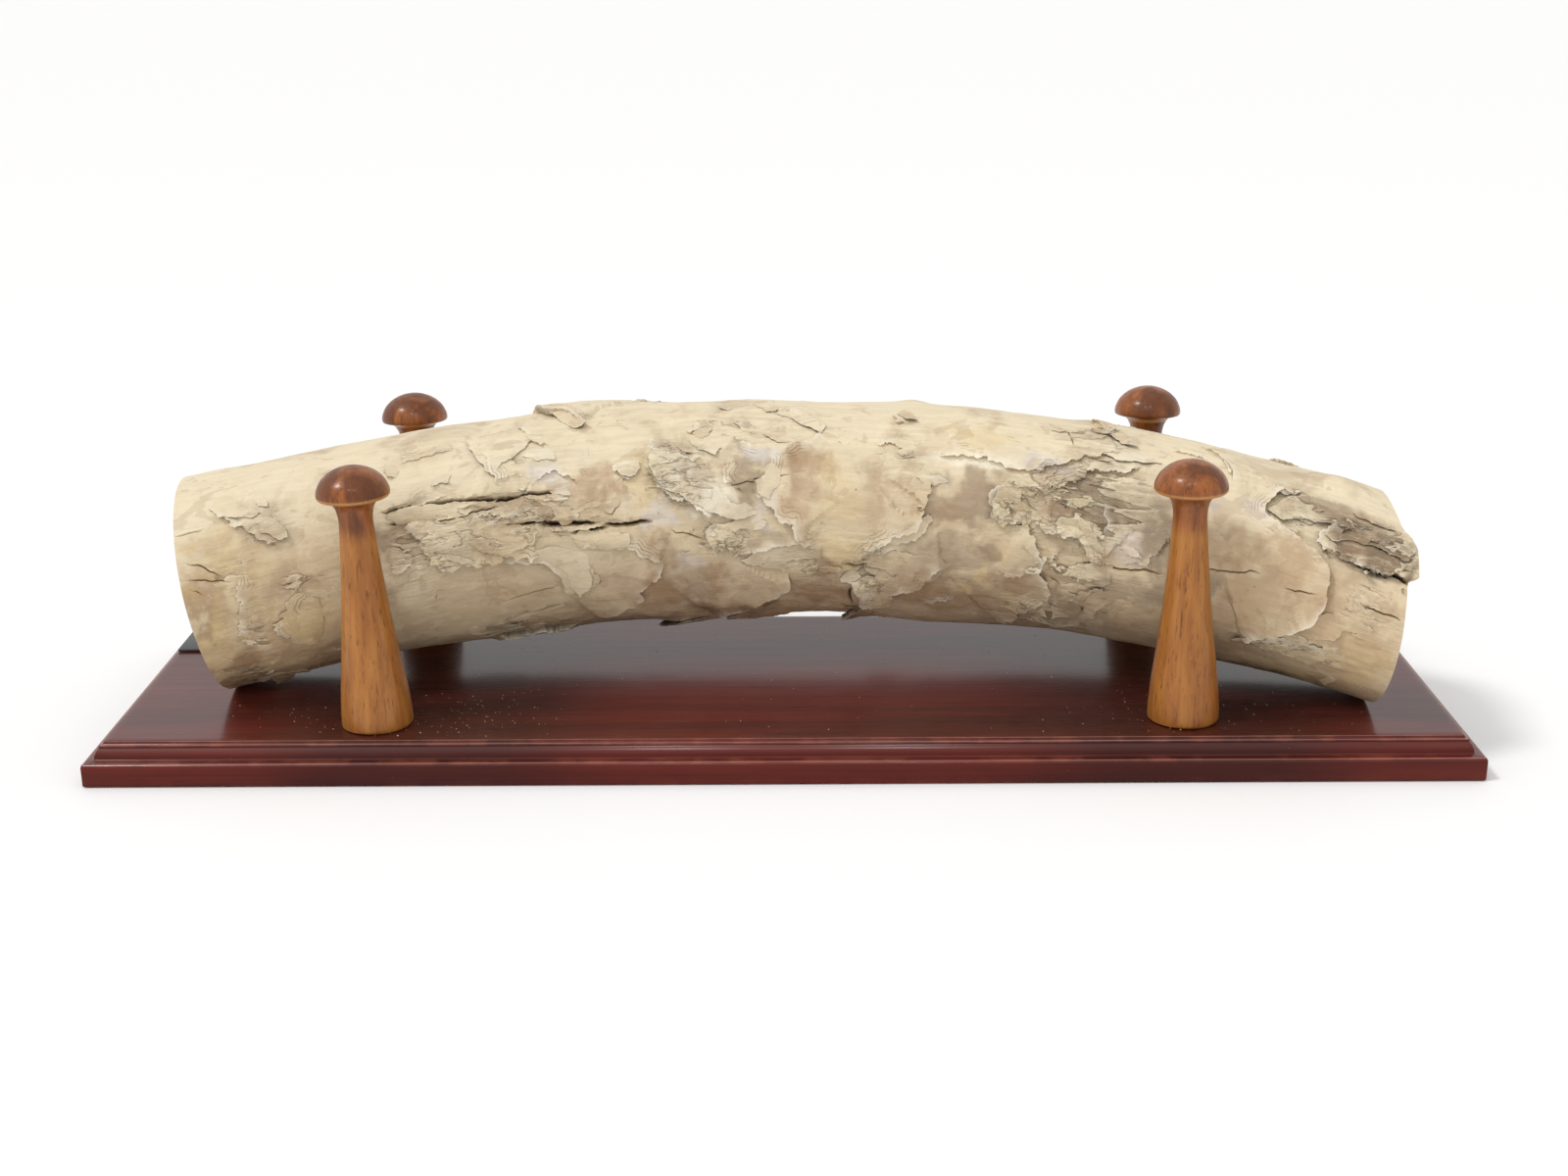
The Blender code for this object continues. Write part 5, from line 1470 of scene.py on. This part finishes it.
# The four pegs, turned to one pattern by a node tree. Each stands at x and y, leans sideways
# and back by so many degrees, and is so many times as tall as the pattern.
peg = {
    "profile": [
        (15.9, 0.0), (16.4, 0.9), (15.6, 14.5), (14.1, 27.0), (12.6, 39.8), (11.2, 52.0),
        (10.0, 64.7), (8.9, 78.0), (8.0, 91.5), (7.7, 97.5), (8.3, 102.5), (9.5, 105.4),
        (11.0, 107.3), (13.2, 108.3), (15.2, 108.6), (16.2, 109.2), (16.5, 110.3), (16.4, 111.6),
        (15.8, 113.5), (14.6, 115.9), (12.6, 118.2), (9.8, 120.3), (6.6, 121.8), (3.2, 122.7),
        (0.4, 122.9),
    ],
    "sides": 72,
    "rings": 150,
    "layout": {
        "peg_front_left": (-187.7, -62.0, -1.8, 0.0, 1.0),
        "peg_front_right": (185.4, -60.0, -1.2, 0.0, 1.0),
        "peg_back_left": (-184.8, 65.6, -1.6, 5.0, 1.013),
        "peg_back_right": (185.0, 65.6, 0.5, 5.0, 1.024),
    },
    "widest": 20.0,
    "tallest": 130.0,
    "foot": 16.4,
    "smooth": 50.0,
}


def geometryTree(name, inputs):
    tree = bpy.data.node_groups.new(name, "GeometryNodeTree")
    tree.interface.new_socket(name="Geometry", in_out="INPUT", socket_type="NodeSocketGeometry")
    sockets = {}
    for title, kind in inputs.items():
        made = tree.interface.new_socket(name=title, in_out="INPUT", socket_type="NodeSocket" + kind)
        sockets[title] = made.identifier
    tree.interface.new_socket(name="Geometry", in_out="OUTPUT", socket_type="NodeSocketGeometry")
    return tree, tree.nodes.new("NodeGroupInput").outputs, tree.nodes.new("NodeGroupOutput").inputs, sockets


def curveThrough(tree, share, turns):
    made = place(tree, "ShaderNodeFloatCurve", 1.0, share)
    dots = made.mapping.curves[0].points
    dots[0].location = turns[0]
    dots[1].location = turns[-1]
    for turn in turns[1:-1]:
        dots.new(*turn)
    for dot in dots:
        dot.handle_type = "AUTO_CLAMPED"
    made.mapping.update()
    return made.outputs[0]


def finished(tree, shape, material, put):
    whole = place(tree, "GeometryNodeRealizeInstances", shape.outputs[0])
    done = place(tree, "GeometryNodeSetMaterial", whole.outputs[0], None, material)
    join(tree, done.outputs[0], put[0])


def pegTree():
    tree, given, put, sockets = geometryTree(
        "turned_peg",
        {
            "Foot": "Vector", "Lean": "Vector", "Tallness": "Float", "Sink": "Float",
            "Level": "Float", "Rings": "Int", "Sides": "Int", "Wood": "Material",
        },
    )
    profile = np.array(peg["profile"])
    run = np.concatenate([[0.0], np.cumsum(np.linalg.norm(np.diff(profile, axis=0), axis=1))])
    run /= run[-1]
    radii = [(float(u), float(r / peg["widest"])) for u, (r, _) in zip(run, profile)]
    rises = [(float(u), float(z / peg["tallest"])) for u, (_, z) in zip(run, profile)]
    line = place(tree, "GeometryNodeMeshLine", given["Rings"], None, None, (0.0, 0.0, 0.001))
    index = tree.nodes.new("GeometryNodeInputIndex").outputs[0]
    share = calc(tree, "DIVIDE", index, minus(tree, given["Rings"], 1.0))
    rise = times(tree, curveThrough(tree, share, rises), peg["tallest"] * mm)
    rise = times(tree, rise, given["Tallness"])
    # the foot starts a little lower and is then cut off level, just above the board
    sunk = times(tree, given["Sink"], calc(tree, "LESS_THAN", index, 0.5))
    spot = place(tree, "ShaderNodeCombineXYZ", 0.0, 0.0, minus(tree, rise, sunk))
    radius = times(tree, curveThrough(tree, share, radii), peg["widest"] * mm)
    lined = place(tree, "GeometryNodeStoreNamedAttribute", line.outputs[0], None, "rise", rise)
    lined = place(tree, "GeometryNodeStoreNamedAttribute", lined.outputs[0], None, "girth", radius)
    lined = place(tree, "GeometryNodeSetPosition", lined.outputs[0], None, spot.outputs[0])
    curve = place(tree, "GeometryNodeMeshToCurve", lined.outputs[0])
    circle = place(tree, "GeometryNodeCurvePrimitiveCircle", given["Sides"])
    circle.inputs["Radius"].default_value = 1.0
    girth = place(tree, "GeometryNodeInputNamedAttribute", "girth")
    body = place(
        tree, "GeometryNodeCurveToMesh", curve.outputs[0], circle.outputs[0], girth.outputs[0], True
    )
    turn = place(tree, "FunctionNodeEulerToRotation", given["Lean"])
    leant = place(tree, "GeometryNodeTransform", body.outputs[0], given["Foot"], turn.outputs[0])
    parts = parted(tree, tree.nodes.new("GeometryNodeInputPosition").outputs[0])
    cut = calc(tree, "MAXIMUM", parts[2], given["Level"])
    flush = place(tree, "ShaderNodeCombineXYZ", parts[0], parts[1], cut)
    level = place(tree, "GeometryNodeSetPosition", leant.outputs[0], None, flush.outputs[0])
    finished(tree, level, given["Wood"], put)
    return tree, sockets


def grownFrom(name, tree, sockets, values, start=None):
    # runs a node tree and keeps its result as a plain mesh
    base = start if start else bpy.data.meshes.new(name + "_start")
    holder = bpy.data.objects.new(name + "_holder", base)
    scene.collection.objects.link(holder)
    modifier = holder.modifiers.new("nodes", "NODES")
    modifier.node_group = tree
    for title, value in values.items():
        modifier[sockets[title]] = value
    holder.update_tag()
    bpy.context.view_layer.update()
    graph = bpy.context.evaluated_depsgraph_get()
    mesh = bpy.data.meshes.new_from_object(holder.evaluated_get(graph), depsgraph=graph)
    holder.modifiers.remove(modifier)
    bpy.data.objects.remove(holder)
    made = bpy.data.objects.new(name, mesh)
    scene.collection.objects.link(made)
    return made


def pegWoodMaterial():
    made, tree, shader = newMaterial("peg_wood")
    where = objectCoords(tree)
    rise = reading(tree, "rise")
    tone, pores, dashes = (
        placeGroup(
            tree, grainGroup, Vector=where, Stretch=(1.0, 1.0, stretch), Scale=scale, Low=low, High=high
        )
        for stretch, scale, low, high in (
            (0.05, 230.0, 0.30, 0.72), (0.09, 980.0, 0.58, 0.68), (0.16, 560.0, 0.60, 0.66)
        )
    )
    figure = noiseAt(tree, stretched(tree, where, (1.0, 1.0, 0.3)), 60.0, 3.0, 0.55, 0.6)[0]
    body = dyed(tree, paint(178, 117, 52), tone["Mask"], (150, 91, 37))
    body = dyed(tree, body, ramp(tree, figure, 0.5, 0.7, 0.0, 0.45), (148, 84, 34))
    dark = dyed(tree, paint(162, 96, 46), tone["Mask"], (122, 66, 30))
    dark = dyed(tree, dark, ramp(tree, figure, 0.46, 0.60, 0.0, 0.7), (84, 42, 20))
    neck = plus(tree, rise, times(tree, tone["Fine"], 0.008))
    colour = mixed(tree, ramp(tree, neck, 0.0915, 0.1005), body, dark)
    colour = dyed(tree, colour, pores["Mask"], (92, 50, 20), 0.60)
    colour = dyed(tree, colour, dashes["Mask"], (84, 46, 20), 0.45)
    # a pale line round the head's lower rim
    offRim = calc(tree, "ABSOLUTE", minus(tree, rise, 0.1093))
    colour = dyed(tree, colour, ramp(tree, offRim, 0.0005, 0.0015, 1.0, 0.0), (206, 148, 84), 0.65)
    join(tree, colour, shader["Base Color"])
    join(tree, ramp(tree, figure, 0.3, 0.7, 0.30, 0.46), shader["Roughness"])
    normal = bumped(tree, pores["Mask"], -0.00012)
    normal = bumped(tree, tone["Mask"], 0.00008, normal)
    join(tree, bumped(tree, noiseAt(tree, where, 90.0)[0], 0.00030, normal), shader["Normal"])
    shader["Specular IOR Level"].default_value = 0.25
    shader["Coat Weight"].default_value = 0.30
    shader["Coat Roughness"].default_value = 0.18
    return made


pegWood = pegWoodMaterial()
tree, sockets = pegTree()
for name, (x, y, sideways, backwards, tall) in peg["layout"].items():
    tilt = math.hypot(sideways, backwards)
    lean = Vector((math.tan(math.radians(sideways)), math.tan(math.radians(backwards)), 1.0))
    turn = Vector((0.0, 0.0, 1.0)).rotation_difference(lean.normalized()).to_euler()
    made = grownFrom(
        name + "_turned", tree, sockets,
        {
            "Foot": (x * mm, y * mm, boardTop * mm), "Lean": tuple(turn), "Tallness": tall,
            "Sink": peg["foot"] * math.tan(math.radians(tilt)) * mm, "Level": (boardTop + gap) * mm,
            "Rings": peg["rings"], "Sides": peg["sides"], "Wood": pegWood,
        },
    )
    made.data.shade_smooth()
    made.data.set_sharp_from_angle(angle=math.radians(peg["smooth"]))
    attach(made, "root")
    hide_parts(name)
print("pegs turned")


# the thin plate on the board's back left corner
plate = {
    "size": (90.0, 40.0, 1.0),
    "left": -308.4,
    "front": 33.0,
    "round": 0.8,
    "bevel": 0.22,
    "turns": 5,
    "smooth": 30.0,
}


def plateMesh():
    x, y = plate["left"], plate["front"]
    wide, deep, thick = plate["size"]
    bevel = plate["bevel"]
    outline = []
    for right, back, start in ((1, 1, 0), (0, 1, 90), (0, 0, 180), (1, 0, 270)):
        middle = (
            x + wide * right + plate["round"] * (1 - 2 * right),
            y + deep * back + plate["round"] * (1 - 2 * back),
        )
        for step in range(plate["turns"]):
            angle = math.radians(start + step * 90.0 / (plate["turns"] - 1))
            outline.append((*middle, math.cos(angle), math.sin(angle)))
    levels = ((0.0, 0.0), (0.0, thick - bevel), (bevel * 0.3, thick - bevel * 0.3), (bevel, thick))
    corners = []
    for inset, height in levels:
        reach = plate["round"] - inset
        z = boardTop + gap + height
        corners += [(cx + reach * ux, cy + reach * uy, z) for cx, cy, ux, uy in outline]
    return corners, stacked(len(outline), len(levels))


def plateMaterial():
    made, tree, shader = newMaterial("dark_plate")
    where = objectCoords(tree)
    smear = noiseAt(tree, stretched(tree, where, (1.0, 4.0, 1.0)), 90.0, 5.0, 0.6)[0]
    colour = dyed(tree, paint(30, 30, 33), ramp(tree, smear, 0.35, 0.7), (46, 45, 48))
    dust = placeGroup(tree, speckGroup, Vector=where, Scale=500.0, Size=0.14, Amount=0.05)["Mask"]
    join(tree, dyed(tree, colour, dust, (190, 180, 170), 0.5), shader["Base Color"])
    join(tree, ramp(tree, smear, 0.3, 0.7, 0.16, 0.34), shader["Roughness"])
    join(tree, bumped(tree, smear, 0.00004), shader["Normal"])
    return made


corners, faces = plateMesh()
platePiece = meshObject("dark_plate", corners, faces, plateMaterial(), plate["smooth"])
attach(platePiece, "root")
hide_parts("label_plate")
print("plate made")


# Crumbs of ivory and dust lying on the board, scattered by a node tree. Places are x, y, how
# far they spread and how thickly they lie.
crumbs = {
    "size": (0.08, 0.34),
    "seed": 5,
    "density": 38000.0,
    "lift": 0.15,
    "sheet": (300.0, 80.0, 6.0),
    "jag": 1.7,
    "push": 1.4,
    "turn": (0.5, 0.5, 6.28),
    "shape": (1.0, 0.7, 0.45),
    "pegClear": 15.0,
    "places": [(-188, -62, 26, 1.0), (185, -60, 26, 0.8), (-142, -68, 26, 1.3), (156, -60, 24, 0.5),
               (-235, -60, 20, 0.4), (240, -60, 24, 0.25), (-120, -20, 20, 0.3), (-60, -20, 60, 0.06),
               (60, -30, 60, 0.05), (-20, 40, 80, 0.04), (120, 30, 50, 0.05), (-120, 40, 50, 0.05)],
}


def crumbTree():
    tree, given, put, sockets = geometryTree(
        "scattered_crumbs",
        {"Smallest": "Float", "Largest": "Float", "Density": "Float", "Seed": "Int", "Ivory": "Material"},
    )
    share = place(tree, "GeometryNodeInputNamedAttribute", "share")
    spots = place(tree, "GeometryNodeDistributePointsOnFaces", given["Geometry"])
    join(tree, times(tree, share.outputs[0], given["Density"]), spots.inputs["Density"])
    join(tree, given["Seed"], spots.inputs["Seed"])
    grit = place(tree, "GeometryNodeMeshIcoSphere", 1.0, 1)
    jag = place(tree, "ShaderNodeTexNoise")
    jag.inputs["Scale"].default_value = crumbs["jag"]
    whole, half = (crumbs["push"],) * 3, (crumbs["push"] / 2,) * 3
    push = place(tree, "ShaderNodeVectorMath", jag.outputs[1], whole, operation="MULTIPLY")
    centred = place(tree, "ShaderNodeVectorMath", push.outputs[0], half, operation="SUBTRACT")
    chip = place(tree, "GeometryNodeSetPosition", grit.outputs[0], None, None, centred.outputs[0])
    turn = place(tree, "FunctionNodeRandomValue", data_type="FLOAT_VECTOR")
    turn.inputs[1].default_value = crumbs["turn"]
    size = place(tree, "FunctionNodeRandomValue", data_type="FLOAT")
    join(tree, given["Smallest"], size.inputs[2])
    join(tree, given["Largest"], size.inputs[3])
    flatten = place(tree, "ShaderNodeVectorMath", size.outputs[1], crumbs["shape"], operation="MULTIPLY")
    turned = place(tree, "FunctionNodeEulerToRotation", turn.outputs[0])
    laid = place(tree, "GeometryNodeInstanceOnPoints", spots.outputs[0], None, chip.outputs[0])
    join(tree, turned.outputs[0], laid.inputs["Rotation"])
    join(tree, flatten.outputs[0], laid.inputs["Scale"])
    finished(tree, laid, given["Ivory"], put)
    return tree, sockets


def crumbMaterial():
    made, tree, shader = newMaterial("ivory_crumbs")
    where = objectCoords(tree)
    tone = ramp(tree, noiseAt(tree, where, 160.0, 2.0)[0], 0.35, 0.65)
    join(tree, dyed(tree, paint(236, 222, 196), tone, (176, 146, 112)), shader["Base Color"])
    join(tree, bumped(tree, noiseAt(tree, where, 1400.0)[0], 0.0002), shader["Normal"])
    shader["Roughness"].default_value = 0.8
    return made


def crumbSheet():
    # a sheet over the board that says how thickly the crumbs lie, none of them under a peg
    farX, farY, step = crumbs["sheet"]
    columns = np.arange(-farX, farX + 0.1, step)
    rows = np.arange(-farY, farY + 0.1, step)
    wide = len(columns)
    points = [(x * mm, y * mm, (boardTop + crumbs["lift"]) * mm) for y in rows for x in columns]
    faces = [
        (j * wide + i, j * wide + i + 1, (j + 1) * wide + i + 1, (j + 1) * wide + i)
        for j in range(len(rows) - 1) for i in range(wide - 1)
    ]
    sheet = bpy.data.meshes.new("crumb_sheet")
    sheet.from_pydata(points, [], faces)
    spots = np.array([(x, y) for y in rows for x in columns])
    share = np.zeros(len(spots))
    for x, y, reach, strong in crumbs["places"]:
        share += strong * np.exp(-(((spots - (x, y)) ** 2).sum(axis=1)) / reach**2)
    for x, y, _, _, _ in peg["layout"].values():
        share = np.where(np.linalg.norm(spots - (x, y), axis=1) < crumbs["pegClear"], 0.0, share)
    spread = sheet.attributes.new("share", "FLOAT", "POINT")
    spread.data.foreach_set("value", share.astype(np.float32))
    return sheet


tree, sockets = crumbTree()
crumbPiece = grownFrom(
    "ivory_crumbs", tree, sockets,
    {
        "Smallest": crumbs["size"][0] * mm, "Largest": crumbs["size"][1] * mm,
        "Density": crumbs["density"], "Seed": crumbs["seed"], "Ivory": crumbMaterial(),
    },
    crumbSheet(),
)
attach(crumbPiece, "root")
print("crumbs scattered:", len(crumbPiece.data.polygons), "faces")


# the plain floor, the light and the camera
stageLook = {
    "floorRadius": 14.0,
    "floorTurns": 64,
    "floorDrop": 0.0003,
    "floorTone": (0.965, 0.965, 0.965, 1.0),
    "worldTone": (1.0, 0.995, 0.985, 1.0),
    "world": 0.74,
    "lookAt": (0.0, 0.0, 0.07),
    "aboveStrength": 1.15,
    "aboveWidth": 11.0,
    "abovePlace": (-1.3, -0.45, 2.0),
    "lampPower": 1.6,
    "lampSize": (0.14, 0.10),
    "lampPlaces": ((-0.28, -1.25, 1.55), (0.22, -1.25, 1.55)),
}
floorMesh = bpy.data.meshes.new("floor")
ring = [
    (stageLook["floorRadius"] * math.cos(a), stageLook["floorRadius"] * math.sin(a), -stageLook["floorDrop"])
    for a in np.linspace(0.0, 2.0 * math.pi, stageLook["floorTurns"], endpoint=False)
]
floorMesh.from_pydata(ring, [], [list(range(len(ring)))])
floor = bpy.data.objects.new("floor", floorMesh)
scene.collection.objects.link(floor)
floorSurface, tree, shader = newMaterial("pale_floor")
shader["Base Color"].default_value = stageLook["floorTone"]
shader["Roughness"].default_value = 0.9
floorMesh.materials.append(floorSurface)

world = bpy.data.worlds.new("studio")
world.use_nodes = True
scene.world = world
background = world.node_tree.nodes["Background"]
background.inputs["Color"].default_value = stageLook["worldTone"]
background.inputs["Strength"].default_value = stageLook["world"]


def lamp(name, kind, spot, power):
    light = bpy.data.lights.new(name, kind)
    light.energy = power
    made = bpy.data.objects.new(name, light)
    made.location = spot
    ahead = Vector(stageLook["lookAt"]) - Vector(spot)
    made.rotation_euler = ahead.to_track_quat("-Z", "Y").to_euler()
    scene.collection.objects.link(made)
    return light


above = lamp("above", "SUN", stageLook["abovePlace"], stageLook["aboveStrength"])
above.angle = math.radians(stageLook["aboveWidth"])
for index, spot in enumerate(stageLook["lampPlaces"]):
    small = lamp("lamp_" + str(index + 1), "AREA", spot, stageLook["lampPower"])
    small.shape = "RECTANGLE"
    small.size, small.size_y = stageLook["lampSize"]

view = {
    "place": (6.617, -924.875, 373.197),
    "pitch": 18.555,
    "yaw": -0.374,
    "roll": -0.430,
    "lens": 46.125,
    "sensor": 36.0,
    "clip": (0.05, 60.0),
}
pitch, yaw, roll = (math.radians(view[name]) for name in ("pitch", "yaw", "roll"))
ahead = Vector((math.sin(yaw) * math.cos(pitch), math.cos(yaw) * math.cos(pitch), -math.sin(pitch)))
right = Vector((math.cos(yaw), -math.sin(yaw), 0.0))
upward = right.cross(ahead)
sideWay = right * math.cos(roll) + upward * math.sin(roll)
upWay = -right * math.sin(roll) + upward * math.cos(roll)
lens = bpy.data.cameras.new("camera")
lens.lens = view["lens"]
lens.sensor_width = view["sensor"]
lens.clip_start, lens.clip_end = view["clip"]
camera = bpy.data.objects.new("camera", lens)
scene.collection.objects.link(camera)
spot = Vector(view["place"]) * mm
camera.matrix_world = Matrix((
    (sideWay.x, upWay.x, -ahead.x, spot.x),
    (sideWay.y, upWay.y, -ahead.y, spot.y),
    (sideWay.z, upWay.z, -ahead.z, spot.z),
    (0.0, 0.0, 0.0, 1.0),
))
scene.camera = camera
scene.view_settings.view_transform = "Standard"
